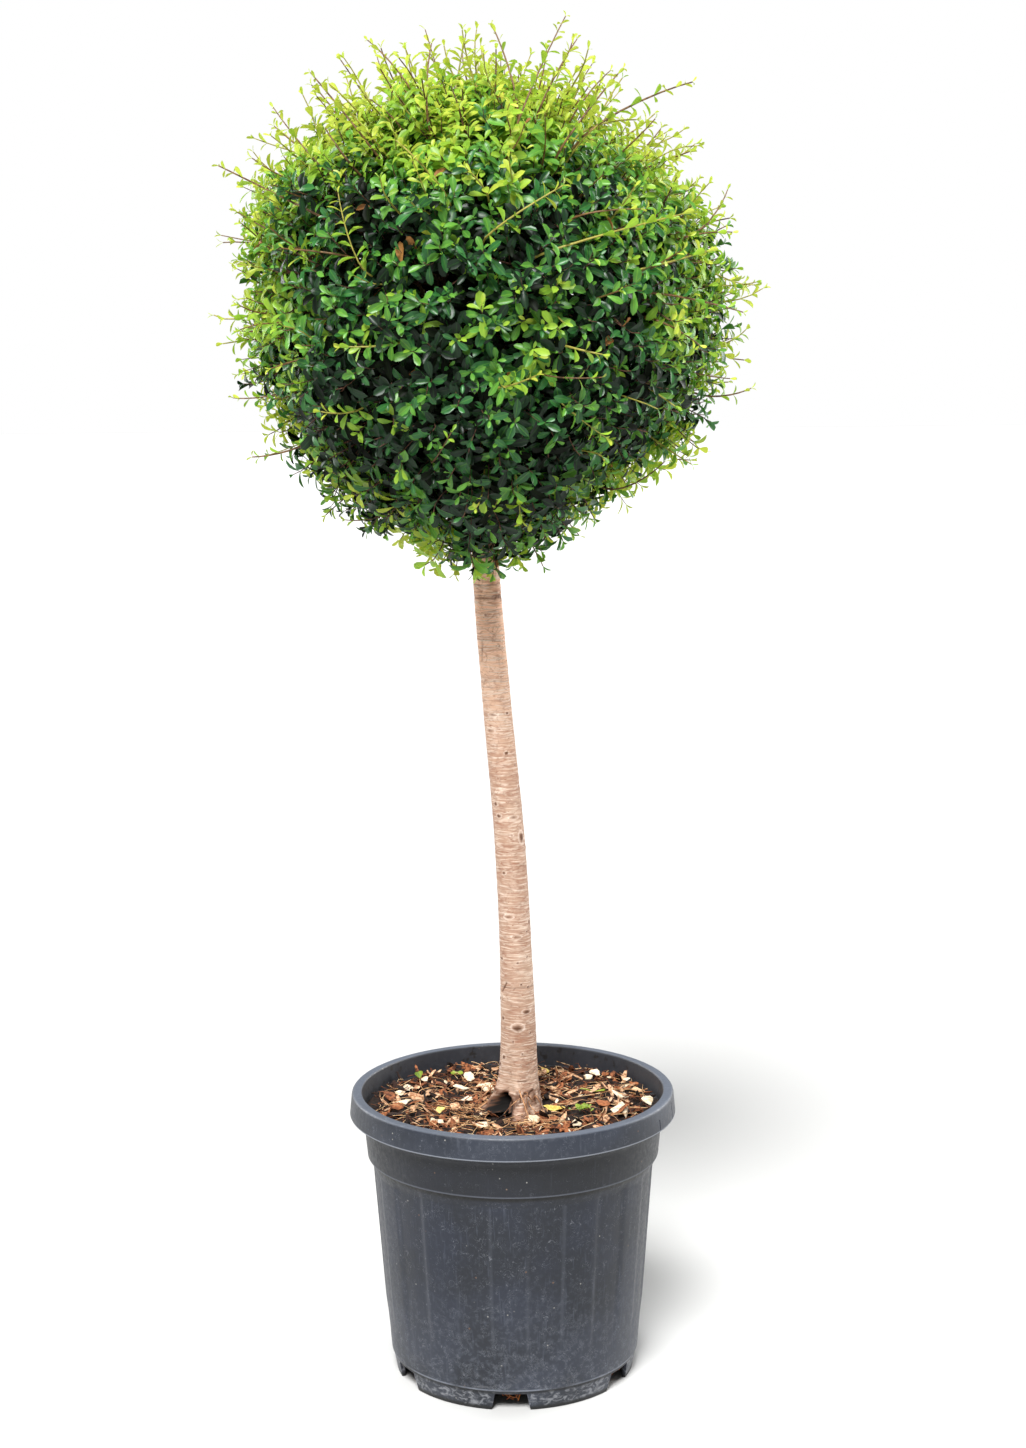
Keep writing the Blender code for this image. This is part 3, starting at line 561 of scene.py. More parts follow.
# %% Turn the pot
points = []
strip_end = BAND_BOTTOM - 0.0010
for radius, height in profile[1:-1]:
    on_wall = wall_radius(height) - 0.0005 < radius and FOOT_LINE < height < strip_end
    fade = clamped((height - STRIP_FADED) / (STRIP_FULL - STRIP_FADED))
    fade *= clamped((strip_end - height) / 0.0080)
    for side in range(POT_SIDES):
        angle = FIRST_STRIP + tau * side / POT_SIDES
        swell = STRIP_PROUD * fade * strip_share(angle) if on_wall else 0.0
        spot = bearing(angle) * (radius + swell)
        points.append((spot.x, spot.y, height))
faces = ring_quads(len(profile) - 2, POT_SIDES)
pot = mesh_piece("nursery_pot", np.array(points), faces, pot_plastic, smooth=False)
bm = bmesh.new()
bm.from_mesh(pot.data)
bmesh.ops.holes_fill(bm, edges=[edge for edge in bm.edges if edge.is_boundary], sides=0)
bmesh.ops.recalc_face_normals(bm, faces=bm.faces)
bm.to_mesh(pot.data)
bm.free()
print("turned", len(points), "points of the pot's wall")

# %% Cut the drainage slots and two slits in the skirt
# Bearing in degrees and height of the slits, where the moulding has split.
SLITS, SLIT_WIDTH = ((62.0, 0.011), (76.0, 0.016)), 0.0013
BELOW_FOOT = 0.004
cutters = bpy.data.collections.new("pot_cutters")
bpy.context.scene.collection.children.link(cutters)
half_slit, half_hole = SLIT_WIDTH / 2, HOLE_WIDTH / 2
blocks = [
    (radians(turn), (SKIRT_RADIUS - 0.006, SKIRT_RADIUS + 0.003), (half_slit, half_slit),
     (SKIRT_BOTTOM - 0.002, SKIRT_BOTTOM + height))
    for turn, height in SLITS
]
spread = (SLOT_BOTTOM_WIDTH - SLOT_TOP_WIDTH) / 2 / SLOT_HEIGHT
halves = (SLOT_BOTTOM_WIDTH / 2 + spread * BELOW_FOOT, SLOT_TOP_WIDTH / 2)
middle = FOOT_RADIUS - FOOT_THICKNESS - HOLE_DEPTH / 2 - 0.002
for index in range(SLOT_COUNT):
    turn = FIRST_STRIP + tau * index / SLOT_COUNT
    across_foot = (FOOT_RADIUS - 0.018, FOOT_LINE_RADIUS + 0.006)
    through_floor = (middle - HOLE_DEPTH / 2, middle + HOLE_DEPTH / 2)
    blocks.append((turn, across_foot, halves, (-BELOW_FOOT, SLOT_HEIGHT)))
    heights = (FOOT_LINE - FLOOR_THICKNESS, floor_top + FLOOR_THICKNESS)
    blocks.append((turn, through_floor, (half_hole, half_hole), heights))
for block in blocks:
    cutters.objects.link(slot_block(*block))
cut = pot.modifiers.new("slots", "BOOLEAN")
cut.operation, cut.operand_type, cut.collection = "DIFFERENCE", "COLLECTION", cutters
with bpy.context.temp_override(object=pot, active_object=pot):
    bpy.ops.object.modifier_apply(modifier=cut.name)
for cutter in list(cutters.objects):
    bpy.data.objects.remove(cutter)
bpy.data.collections.remove(cutters)
pot.data.shade_smooth()
pot.data.set_sharp_from_angle(angle=radians(32.0))
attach(pot, "root")
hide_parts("pot")
print("pot has", len(pot.data.polygons), "faces")


# %% [markdown]
# ## Potting mix and bark mulch
#
# The pot is filled to some 20 mm under its rim with potting mix, and dressed with bark mulch:
# torn chips of red-brown bark, a few split to pale wood, with straw-like fibres and fine roots in
# between. Scattering one chip with geometry nodes would do, but every chip would look alike. Here
# each chip is its own torn slab from a seeded rule, and all chips of one tint are one mesh.

# %% Bark and root materials
def crumbly_material(name, dark, light, grain_mm, roughness=0.9):
    """A dry, torn, fibrous surface: two tones mixed by noise at the grain's size, and rough."""
    material, tree, shader = blank_material(name, roughness, 1.45)
    place = add_node(tree, "TexCoord", out="Object")
    values = {"grain": noise_at(tree, place, grain_mm, detail=4.0)}
    values["own"] = add_node(tree, "NewGeometry", out="Random Per Island")
    layers = (
        (light, 1.0, ("grain", 0.35, 0.65)),
        # Each chip or strand leans a little to one of the two tones.
        (light, 0.45, ("own", 0.55, 1.0)),
        (dark, 0.45, ("own", 0.45, 0.0)),
    )
    colour = paint(tree, from_hex(dark), layers, values)
    finish_shader(tree, shader, colour, (values["grain"], 0.5, grain_mm / 4000.0))
    return material


def mulch_piece(name, points, faces, material):
    """A mesh of chips, fibres or roots, which belongs to the mulch."""
    piece = mesh_piece(name, points, faces, material)
    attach(piece, "root")
    return piece


peat = crumbly_material("damp_peat_and_bark_fines", "0c0704", "2c1b13", 2.5)
print("peat has", len(peat.node_tree.nodes), "shader nodes")

# %% The bed of mix
mix_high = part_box("potting_mix")[1]
MIX_TOP, MIX_EDGE = 0.2445, LEDGE_RADIUS - WALL_THICKNESS - 0.0005
MIX_SIDES, MIX_RINGS = 144, 60
MIX_ROUGHNESS, CRUMB_HEIGHT = 0.0032, 0.0016
DIP_RADIUS, DIP_DEPTH = 0.055, 0.0075


def mix_height(x, y):
    """How high the bed lies here: lower at the trunk, with hollows and crumbs elsewhere."""
    spot = Vector((x, y, 0.0))
    outward = min(spot.length / DIP_RADIUS, 1.0)
    gentle = MIX_ROUGHNESS * noise(spot * 40.0) * outward
    crumbs = CRUMB_HEIGHT * fractal(spot * 260.0, 0.6, 2.0, 3)
    return MIX_TOP + gentle + crumbs - DIP_DEPTH * (1.0 - outward)


points = [(0.0, 0.0, mix_height(0.0, 0.0))]
# Rings of the top, then two that go down inside the wall.
rings = [(MIX_EDGE * ring / MIX_RINGS, None) for ring in range(1, MIX_RINGS + 1)]
rings += [(MIX_EDGE - 0.004, BAND_TOP + 0.002), (0.120, BAND_BOTTOM)]
for radius, height in rings:
    for side in range(MIX_SIDES):
        spot = bearing(tau * side / MIX_SIDES) * radius
        points.append((spot.x, spot.y, height or mix_height(spot.x, spot.y)))
faces = []
for side in range(MIX_SIDES):
    after = (side + 1) % MIX_SIDES
    faces.append((0, 1 + side, 1 + after))
    for ring in range(MIX_RINGS + 1):
        a, b = 1 + ring * MIX_SIDES, 1 + (ring + 1) * MIX_SIDES
        faces += [(a + side, b + side, b + after), (a + side, b + after, a + after)]
mix = mesh_piece("potting_mix_bed", np.array(points), np.array(faces), peat)
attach(mix, "root")
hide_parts("potting_mix")
print("bed of mix has", len(faces), "faces, over a solid up to", round(1000 * mix_high.z), "mm")

# %% Tints and places of the chips
# Name of a tint: how many are strewn, their lengths in mm, and the tones.
CHIP_TINTS = {
    "chips_red_brown": (270, (8.0, 21.0), ("42200f", "a0623c")),
    "chips_dark": (330, (8.0, 20.0), ("0c0603", "30190e")),
    "chips_tan": (165, (7.0, 19.0), ("8c5c3a", "e4bc96")),
    "chips_pale_wood": (44, (5.0, 11.0), ("bfa98a", "ecdfc6")),
    "chips_yellow": (0, (6.0, 8.0), ("b89a3e", "ead684")),
}
# Large chips lie on top: x, y, length and width in mm, by tint.
PLACED_CHIPS = {
    "chips_pale_wood": (
        (-83, 63, 6, 5), (-41, 75, 9, 8), (-24, 45, 15, 9), (-99, 47, 8, 6), (-105, 31, 8, 7),
        (-101, 1, 14, 5), (-48, 36, 13, 4), (-41, 9, 9, 7), (-72, -51, 5, 4), (-66, -54, 6, 5),
        (-28, -67, 14, 6), (80, 84, 9, 8), (72, 65, 8, 5), (99, 18, 16, 9), (98, -27, 13, 11),
        (125, -2, 14, 8), (18, -49, 10, 8), (56, -66, 8, 6), (108, 58, 5, 4), (92, 68, 4, 3),
    ),
    "chips_tan": (
        (-90, 44, 6, 5), (-88, 14, 17, 9), (-53, -15, 9, 8), (116, 34, 10, 4), (57, 84, 23, 3),
    ),
    "chips_red_brown": ((-65, 37, 8, 7), (-106, -10, 10, 8), (83, -16, 13, 9)),
    "chips_yellow": ((-67, -25, 10, 7), (31, 94, 8, 8), (37, -15, 16, 7)),
}
# They lie this high, and the torn outline is drawn larger than the chip that is left of it.
PLACED_RISE, LENGTHS_PER_METRE, WIDTHS_PER_METRE = 0.0072, 800.0, 700.0
print(sum(len(rows) for rows in PLACED_CHIPS.values()), "large chips have their own place")

# %% One torn chip
CHIP_SIDES = 9


def torn_chip(place, length, width, tilts, turn, rng):
    """A slab with a torn outline, lying at a slope: points and triangles."""
    thick = min(length, 1.4 * width) * rng.uniform(0.07, 0.17)
    tilt = Matrix.Rotation(tilts[0], 3, "X") @ Matrix.Rotation(tilts[1], 3, "Y")
    placed = Matrix.Rotation(turn, 3, "Z") @ tilt
    outline = []
    for side in range(CHIP_SIDES):
        angle = tau * (side + rng.uniform(-0.28, 0.28)) / CHIP_SIDES
        ragged = rng.uniform(0.55, 1.25)
        outline.append((cos(angle) * length / 2 * ragged, sin(angle) * width / 2 * ragged))
    bow = rng.uniform(-0.45, 0.45)
    spots = []
    for level, inset in ((-0.5, 0.86), (0.0, 1.0), (0.5, 0.84)):
        for across, along in outline:
            curve = bow * (across * across) / length
            shift = rng.uniform(-0.16, 0.16) * thick
            spots.append(Vector((across * inset, along * inset, level * thick + curve + shift)))
    spots.append(Vector((0.0, 0.0, -0.5 * thick)))
    spots.append(Vector((rng.uniform(-0.1, 0.1) * length, 0.0, 0.55 * thick)))
    triangles = []
    for side in range(CHIP_SIDES):
        after = (side + 1) % CHIP_SIDES
        for base in (0, CHIP_SIDES):
            triangles.append((base + side, base + after, base + CHIP_SIDES + after))
            triangles.append((base + side, base + CHIP_SIDES + after, base + CHIP_SIDES + side))
        triangles.append((after, side, 3 * CHIP_SIDES))
        triangles.append((2 * CHIP_SIDES + side, 2 * CHIP_SIDES + after, 3 * CHIP_SIDES + 1))
    return [place + placed @ spot for spot in spots], triangles


sample = torn_chip(Vector(), 0.02, 0.01, (0.0, 0.0), 0.0, random.Random(0))
print("one chip has", len(sample[0]), "points and", len(sample[1]), "triangles")

# %% Lay the chips
TRUNK_CLEAR, TRUNK_FOOT_X, CHIP_EDGE = 0.034, 0.006, 0.131


def bed_spot(rng):
    """A random place on the bed, clear of the trunk and the wall, all over it alike."""
    while True:
        radius, angle = CHIP_EDGE * sqrt(rng.random()), rng.uniform(0.0, tau)
        spot = bearing(angle) * radius
        if hypot(spot.x - TRUNK_FOOT_X, spot.y) > TRUNK_CLEAR:
            return spot


def lay_chips(name, count, lengths_mm, tones, seed):
    """One mesh of strewn chips of one tint, with its placed chips on top."""
    rng = random.Random(seed)
    points, faces = [], []
    rows = []
    for _ in range(count):
        spot = bed_spot(rng)
        length = rng.uniform(*lengths_mm) / 1000.0
        width = length * rng.uniform(0.22, 0.62)
        spot.z = mix_height(spot.x, spot.y) + rng.uniform(-0.0006, 0.0062)
        tilts = (rng.gauss(0.0, 0.48), rng.gauss(0.0, 0.48))
        rows.append((spot, length, width, tilts, rng.uniform(0.0, tau)))
    for x, y, length, width in PLACED_CHIPS.get(name, ()):
        spot = Vector((x / 1000.0, y / 1000.0, 0.0))
        spot.z = mix_height(spot.x, spot.y) + PLACED_RISE
        tilts = (rng.uniform(0.15, 0.60), rng.gauss(0.0, 0.15))
        size = length / LENGTHS_PER_METRE, width / WIDTHS_PER_METRE
        rows.append((spot, *size, tilts, rng.gauss(0.0, 0.35)))
    for row in rows:
        chip_points, chip_faces = torn_chip(*row, rng)
        faces += [[len(points) + corner for corner in face] for face in chip_faces]
        points += chip_points
    material = crumbly_material(name, *tones, 3.0)
    piece = mulch_piece(name, np.array(points), np.array(faces), material)
    piece.data.set_sharp_from_angle(angle=radians(40.0))
    return len(rows)


laid = [lay_chips(name, *row, 40 + seed) for seed, (name, row) in enumerate(CHIP_TINTS.items())]
print("laid", sum(laid), "chips")


# %% Tubes along many paths at once
UP_ROW = np.array(UP)


def unit(rows):
    """Each row of an array as a direction of length 1."""
    return rows / np.maximum(np.linalg.norm(rows, axis=-1, keepdims=True), 1e-12)


def beside(along, helper_rows):
    """Two directions square to each row of directions and to each other."""
    steep = np.abs(helper_rows[:, 2:3]) < 0.8
    helper = np.where(steep, [[0.0, 0.0, 1.0]], [[1.0, 0.0, 0.0]])
    across = unit(np.cross(along, helper[:, None, :] if along.ndim == 3 else helper))
    return across, np.cross(across, along)


def tubes(paths, radii, sides):
    """Tapering tubes along paths (n, steps, 3) with radii (n, steps): points and quads."""
    count, steps = paths.shape[:2]
    along = unit(np.gradient(paths, axis=1))
    across, over = beside(along, unit(paths[:, -1] - paths[:, 0]))
    turns = tau * np.arange(sides) / sides
    spokes = (
        across[:, :, None, :] * np.cos(turns)[None, None, :, None]
        + over[:, :, None, :] * np.sin(turns)[None, None, :, None]
    )
    points = paths[:, :, None, :] + spokes * radii[:, :, None, None]
    one = ring_quads(steps, sides)[:, [0, 3, 2, 1]]
    quads = one[None] + (np.arange(count) * steps * sides)[:, None, None]
    return points.reshape(-1, 3), quads.reshape(-1, 4)


stick = np.array([[(0.0, 0.0, 0.0), (0.0, 0.0, 1.0)]])
print("a stick of 6 sides has", len(tubes(stick, np.ones((1, 2)), 6)[1]), "quads")


# %% Curves, tapers and level directions
def tapering(count, steps, thickest, thinnest, rng, shares=(0.8, 1.2)):
    """Radii of tubes that taper evenly, each tube a little thicker or thinner, by these shares."""
    return np.linspace(thickest, thinnest, steps)[None, :] * rng.uniform(*shares, (count, 1))


def bezier(first, leave, arrive, last, steps):
    """Points along many cubic curves, each from first to last past two handles."""
    t = np.linspace(0.0, 1.0, steps)[None, :, None]
    a, b, c, d = (spot[:, None, :] for spot in (first, leave, arrive, last))
    return a * (1 - t) ** 3 + b * 3 * t * (1 - t) ** 2 + c * 3 * t**2 * (1 - t) + d * t**3


def headings(turns, rise):
    """Rows that head from +X towards +Y by these turns, and rise by this much."""
    return np.stack([np.cos(turns), np.sin(turns), np.broadcast_to(rise, turns.shape)], axis=1)


def level(turns):
    """The level direction at each of these bearings, as rows."""
    return np.stack([np.sin(turns), -np.cos(turns), np.zeros(len(turns))], axis=1)


print("level directions at 0 and 90 degrees:", level(np.radians([0.0, 90.0])).round(2).tolist())


# %% Fibres across the chips
# Name of a tint: how many, their lengths in mm, their radius, and the tones.
FIBRE_TINTS = {
    "fibres_straw": (230, (12.0, 32.0), 0.00032, ("b07a48", "ecc898")),
    "fibres_brown": (280, (12.0, 30.0), 0.00036, ("3a1c0e", "844c2c")),
}
# Their middles and their ends keep inside these distances from the pot's axis.
FIBRE_EDGE, FIBRE_END_EDGE, FIBRE_STEPS = 0.128, 0.130, 8


def scatter_fibres(name, count, lengths_mm, radius, tones, seed):
    """Thin bent strands that lie across the chips."""
    rng = np.random.default_rng(seed)
    out = FIBRE_EDGE * np.sqrt(rng.uniform(0.14, 1.0, count))
    middle = level(rng.uniform(0.0, tau, count)) * out[:, None]
    ahead = headings(rng.uniform(0.0, tau, count), rng.normal(0.0, 0.18, count))
    half = rng.uniform(*lengths_mm, (count, 1)) / 2000.0
    first, last = middle - ahead * half, middle + ahead * half
    for ends in (first, last):
        reach = np.hypot(ends[:, 0], ends[:, 1])
        ends[:, :2] *= np.minimum(1.0, FIBRE_END_EDGE / np.maximum(reach, 1e-6))[:, None]
    # They lie a few millimetres over the bed, among the chips.
    lift = MIX_TOP + rng.uniform(0.0035, 0.0075, (count, 1)) * [[0.0, 0.0, 1.0]]
    lift[:, :2] = 0.0
    bend = rng.normal(0.0, 0.28, (2, count, 3)) * half[None]
    bend[:, :, 2] = np.abs(bend[:, :, 2]) * 0.5
    paths = bezier(
        first + lift, middle - ahead * half * 0.3 + bend[0] + lift,
        middle + ahead * half * 0.3 + bend[1] + lift, last + lift, FIBRE_STEPS,
    )
    radii = tapering(count, FIBRE_STEPS, 1.0, 0.45, rng, (0.6, 1.3)) * radius
    mulch_piece(name, *tubes(paths, radii, 4), crumbly_material(name, *tones, 6.0))


for seed, (name, row) in enumerate(FIBRE_TINTS.items()):
    scatter_fibres(name, *row, 60 + seed)
print("laid", sum(row[0] for row in FIBRE_TINTS.values()), "fibres")

# %% Surface roots round the trunk's foot
ROOT_COUNT, ROOT_STEPS = 60, 14
rng = np.random.default_rng(62)
# Most roots leave on the left and in front. Those in front of the hollow in the trunk's foot begin
# further out, so that it stays open.
turns = np.radians(rng.normal(-40.0, 85.0, ROOT_COUNT))
away = level(turns)
in_front = np.abs(np.degrees(turns) + 36.0) < 24.0
start_out = np.where(in_front, 0.046, 0.0265)[:, None]
first = np.array([TRUNK_FOOT_X, 0.0, MIX_TOP + 0.0010]) + away * start_out
steps = np.linspace(0.0, 1.0, ROOT_STEPS)[None, :, None]
reach = rng.uniform(0.014, 0.052, (ROOT_COUNT, 1, 1))
wiggle = np.cumsum(rng.normal(0.0, 0.0021, (ROOT_COUNT, ROOT_STEPS, 3)), axis=1)
wiggle[:, :, 2] = np.abs(wiggle[:, :, 2]) * 0.3
paths = first[:, None, :] + away[:, None, :] * steps * reach + wiggle * np.minimum(steps * 3.0, 1.0)
paths[:, :, 2] += 0.0020 * steps[:, :, 0]
radii = tapering(ROOT_COUNT, ROOT_STEPS, 0.00055, 0.00028, rng, (0.6, 1.3))
dry_root = crumbly_material("surface_roots", "8a5c3a", "d8ae80", 6.0)
mulch_piece("surface_roots", *tubes(paths, radii, 5), dry_root)
print(ROOT_COUNT, "surface roots")

# %% Root tips in the three drainage slots in front
SLOT_ROOTS = 9
turns = FIRST_STRIP + tau / SLOT_COUNT * np.repeat((0, 1, 5), SLOT_ROOTS)
count = len(turns)
turns = turns + rng.uniform(-0.10, 0.10, count)
away, along = level(turns), headings(turns, 0.0)
first = away * rng.uniform(0.098, 0.104, (count, 1))
first += UP_ROW * rng.uniform(0.012, 0.017, (count, 1))
last = first + along * rng.normal(0.0, 0.007, (count, 1))
last -= UP_ROW * rng.uniform(0.003, 0.010, (count, 1))
droop = away * rng.uniform(0.001, 0.005, (count, 1))
paths = bezier(first, first + droop, last + droop, last, 8)
radii = np.full(paths.shape[:2], 0.0005)
moist_root = crumbly_material("roots_in_the_slots", "7a3d1c", "c47a3e", 6.0)
mulch_piece("roots_in_the_slots", *tubes(paths, radii, 4), moist_root)
print(count, "root tips in the slots")


# %% [markdown]
# ## The trunk
#
# A clean stem of smooth pinkish-tan bark with level lines, as on a young privet or holly standard:
# fine wavy wrinkles run round it, corky pores and knots break them, ring scars mark where a tie
# once sat, and at the foot it flares into root lobes round a dark hollow. A plain cylinder with a
# bump map would keep a smooth outline, so the relief here is real: every point of a fine tube is
# moved in or out by the same rule that paints the stain.

# %% Trunk rules from the CAD model
trunk_low, trunk_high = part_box("trunk")
TRUNK_BOTTOM, TRUNK_TOP = trunk_low.z, trunk_high.z
# The centre line as (x, height), and the diameters as (height, diameter).
TRUNK_LINE = (
    (0.0062, 0.2445), (0.0052, 0.350), (-0.0003, 0.492),
    (-0.0124, 0.643), (-0.0200, 0.756), (-0.0205, 0.900),
)
TRUNK_DIAMETERS = (
    (0.2445, 0.0365), (0.290, 0.0335), (0.400, 0.0292),
    (0.600, 0.0260), (0.760, 0.0242), (0.900, 0.0150),
)
# Bearing in degrees, metres it stands out, half width in degrees, and how soon it fades upwards.
ROOT_LOBES = (
    (-70.0, 0.0250, 26.0, 0.0145), (-2.0, 0.0330, 21.0, 0.0120), (52.0, 0.0100, 26.0, 0.0100),
    (112.0, 0.0050, 26.0, 0.0150), (200.0, 0.0120, 30.0, 0.015),
)


def trunk_axis(height):
    """The point of the trunk's centre line at this height, on a smooth curve through TRUNK_LINE."""
    rows = TRUNK_LINE
    place = 0
    while place < len(rows) - 2 and height > rows[place + 1][1]:
        place += 1
    x = [rows[min(max(place + step, 0), len(rows) - 1)][0] for step in (-1, 0, 1, 2)]
    low, high = rows[place][1], rows[place + 1][1]
    t = clamped((height - low) / (high - low))
    start_slope, end_slope = (x[2] - x[0]) / 2, (x[3] - x[1]) / 2
    across = (2 * t**3 - 3 * t**2 + 1) * x[1] + (t**3 - 2 * t**2 + t) * start_slope
    across += (3 * t**2 - 2 * t**3) * x[2] + (t**3 - t**2) * end_slope
    return Vector((across, 0.0, height))


def trunk_radius(height):
    """The trunk's own radius at this height, without its root lobes."""
    return along_table(TRUNK_DIAMETERS, height) / 2


def root_flare(height, angle):
    """How far the root lobes carry the bark out at this height and bearing."""
    flare = 0.0
    for middle, proud, half_width, lobe_height in ROOT_LOBES:
        away = degrees(remainder(angle - radians(middle), tau))
        rise = (height - TRUNK_BOTTOM) / lobe_height
        flare += proud * exp(-((away / half_width) ** 2) - rise)
    return flare


print("trunk runs from", round(1000 * TRUNK_BOTTOM), "to", round(1000 * TRUNK_TOP), "mm")


# %% Marks in the bark
# Kinds of marks: half width and half height in mm, mm they stand out, stain, and where they are, as
# (bearing in degrees, height in metres).
MARKS = (
    (1.5, 1.0, 0.4, 0.85, ((41, 0.6148), (-30, 0.4690), (20, 0.5790))),
    (1.2, 0.8, 0.3, 0.45, ((34, 0.6754), (-15, 0.7034), (28, 0.6480), (-24, 0.5560), (10, 0.5040))),
    (3.2, 1.3, 0.0, 0.42, ((-20, 0.6135), (-38, 0.5987), (-21, 0.4285), (6, 0.4101), (24, 0.5200))),
    (2.2, 3.8, 1.0, 0.90, ((51, 0.5013), (150, 0.3900), (-110, 0.6300))),
    (1.6, 1.4, 0.5, 0.85, ((-46, 0.5321), (-35, 0.5213), (-59, 0.3889), (-58, 0.3329))),
    (1.6, 1.4, 0.5, 0.85, ((190, 0.5600),)),
    (1.4, 1.8, 0.6, 0.80, ((-69, 0.2890), (-53, 0.2967), (65, 0.4224), (95, 0.4900))),
    (1.4, 1.8, 0.6, 0.80, ((-80, 0.3500),)),
    (0.9, 0.8, 0.2, 0.95, ((65, 0.5476), (57, 0.5671), (48, 0.4140), (43, 0.3905), (6, 0.3860))),
    (0.9, 0.8, 0.2, 0.95, ((15, 0.3657), (41, 0.3629), (42, 0.3194), (-18, 0.3121), (11, 0.3010))),
    (3.0, 1.5, 0.6, 0.80, ((30.5, 0.3401),)),
    (4.0, 2.6, 1.1, 0.70, ((-2, 0.3258),)),
)
# Strokes run from one place to another: (bearing, height) twice, half thickness in mm, stain.
STROKES = (
    (-40, 0.6800, -52, 0.6620, 1.6, 0.42),
    (-38, 0.3666, -59, 0.3581, 0.8, 0.90),
    (-4, 0.2762, 20, 0.2752, 0.7, 1.00),
)
STROKE_MARGIN, STROKE_DEPTH, RING_WAVE = 0.006, 0.0004, 0.0008
# Rings go all the way round: height, half thickness in mm, stain, mm they cut in.
RINGS = (
    (0.7302, 0.7, 0.48, 0.45),
    (0.7239, 0.6, 0.40, 0.35),
    (0.7205, 0.6, 0.40, 0.30),
    (0.7182, 1.6, 0.50, 0.35),
    (0.6450, 3.2, 0.14, 0.00),
    (0.3620, 0.7, 0.50, 0.40),
)
# Brown blotches cover these heights.
BLOTCHED = ((0.713, 0.731, 0.36), (0.640, 0.662, 0.16))
marks = sum(len(places) for *_, places in MARKS)
print(marks, "pores and knots,", len(STROKES), "strokes and", len(RINGS), "rings")

# %% Wrinkles and strokes
RIDGE_WAVE = 0.0022


def round_stem(angle):
    """A place on a circle of radius 1, where a noise closes up round the stem."""
    return Vector((sin(angle), cos(angle), 0.0))


def wrinkles(angle, height):
    """Level ridges and creases, some 3 mm apart, that wave and fork: (swell, crease, fine)."""
    round_it = round_stem(angle)
    wave = RIDGE_WAVE * noise(round_it * 2.4 + UP * height * 26.0)
    swell = noise(round_it * 1.7 + UP * (height + wave) * 150.0)
    line = noise(round_it * 2.3 + UP * ((height + wave) * 215.0 + 7.0))
    crease = max(0.0, 1.0 - abs(line) * 6.5)
    fine = noise(round_it * 5.0 + UP * ((height + wave) * 800.0 + 3.0))
    return swell, crease, fine


def stroke_reach(angle, height, stroke):
    """How far from a stroke this place is, in half thicknesses, squared."""
    first_turn, first_height, last_turn, last_height, half, _ = stroke
    girth = trunk_radius(height)
    x = remainder(angle - radians(first_turn), tau) * girth
    y = height - first_height
    run, rise = radians(last_turn - first_turn) * girth, last_height - first_height
    t = clamped((x * run + y * rise) / (run * run + rise * rise))
    return ((x - run * t) ** 2 + (y - rise * t) ** 2) / (half / 1000.0) ** 2


in_front = [round(part, 2) for part in wrinkles(0.0, 0.5)]
print("swell, crease and fine line in front at half a metre:", in_front)


# %% [markdown]
# The bark at one place is told by three numbers: how far it moves in or out, its stain and its
# pallor. The stain also holds painted shade, which takes the hollow in the foot near black. Each
# rule below takes the three from the rule before it and adds its own marks: first the wrinkles,
# then pores and knots, then scars, and last the rough foot with its hollow.

# %% Marks and scars
def with_marks(angle, height, move, stain_and_shade, pallor):
    """Adds the pores, knots and buds."""
    for half_width, half_height, proud, dark, places in MARKS:
        for mark_bearing, mark_height in places:
            if abs(height - mark_height) * 1000.0 > 3.0 * half_height:
                continue
            away = remainder(angle - radians(mark_bearing), tau)
            away *= trunk_radius(height) * 1000.0
            reach = (away / half_width) ** 2 + ((height - mark_height) * 1000.0 / half_height) ** 2
            move += proud / 1000.0 * exp(-reach)
            stain_and_shade += 1.25 * dark * exp(-(reach**1.6))
            pallor += 0.5 * exp(-((reach - 2.6) ** 2))
    return move, stain_and_shade, pallor


def with_scars(angle, height, move, stain_and_shade, pallor):
    """Adds the strokes, the rings where a tie sat, and the brown blotches."""
    for stroke in STROKES:
        if stroke[3] - STROKE_MARGIN < height < stroke[1] + STROKE_MARGIN:
            near = exp(-stroke_reach(angle, height, stroke))
            move -= STROKE_DEPTH * near
            stain_and_shade += stroke[5] * near
    for ring_height, half, dark, cut_in in RINGS:
        wave = RING_WAVE * noise((round_stem(angle) + UP * (ring_height * 50.0)) * 1.3)
        reach = ((height - ring_height - wave) * 1000.0 / half) ** 2
        if reach < 9.0:
            move -= cut_in / 1000.0 * exp(-reach)
            stain_and_shade += dark * exp(-reach)
    blotch = noise(round_stem(angle) * 2.1 + UP * height * 130.0)
    for low, high, dark in BLOTCHED:
        if low < height < high:
            stain_and_shade += dark * max(0.0, blotch + 0.15)
    return move, stain_and_shade, pallor


scarred = with_scars(0.0, 0.7302, *with_marks(0.0, 0.7302, 0.0, 0.0, 0.0))
print("a ring cuts", round(-1000 * scarred[0], 2), "mm in, with a stain of", round(scarred[1], 2))

# %% The foot, and the bark at one place
ROUGH_BELOW = 0.2685
HOLLOW_BEARING, HOLLOW_HALF_WIDTH, HOLLOW_TOP, HOLLOW_DEPTH = -37.0, 25.0, 0.0185, 0.0150


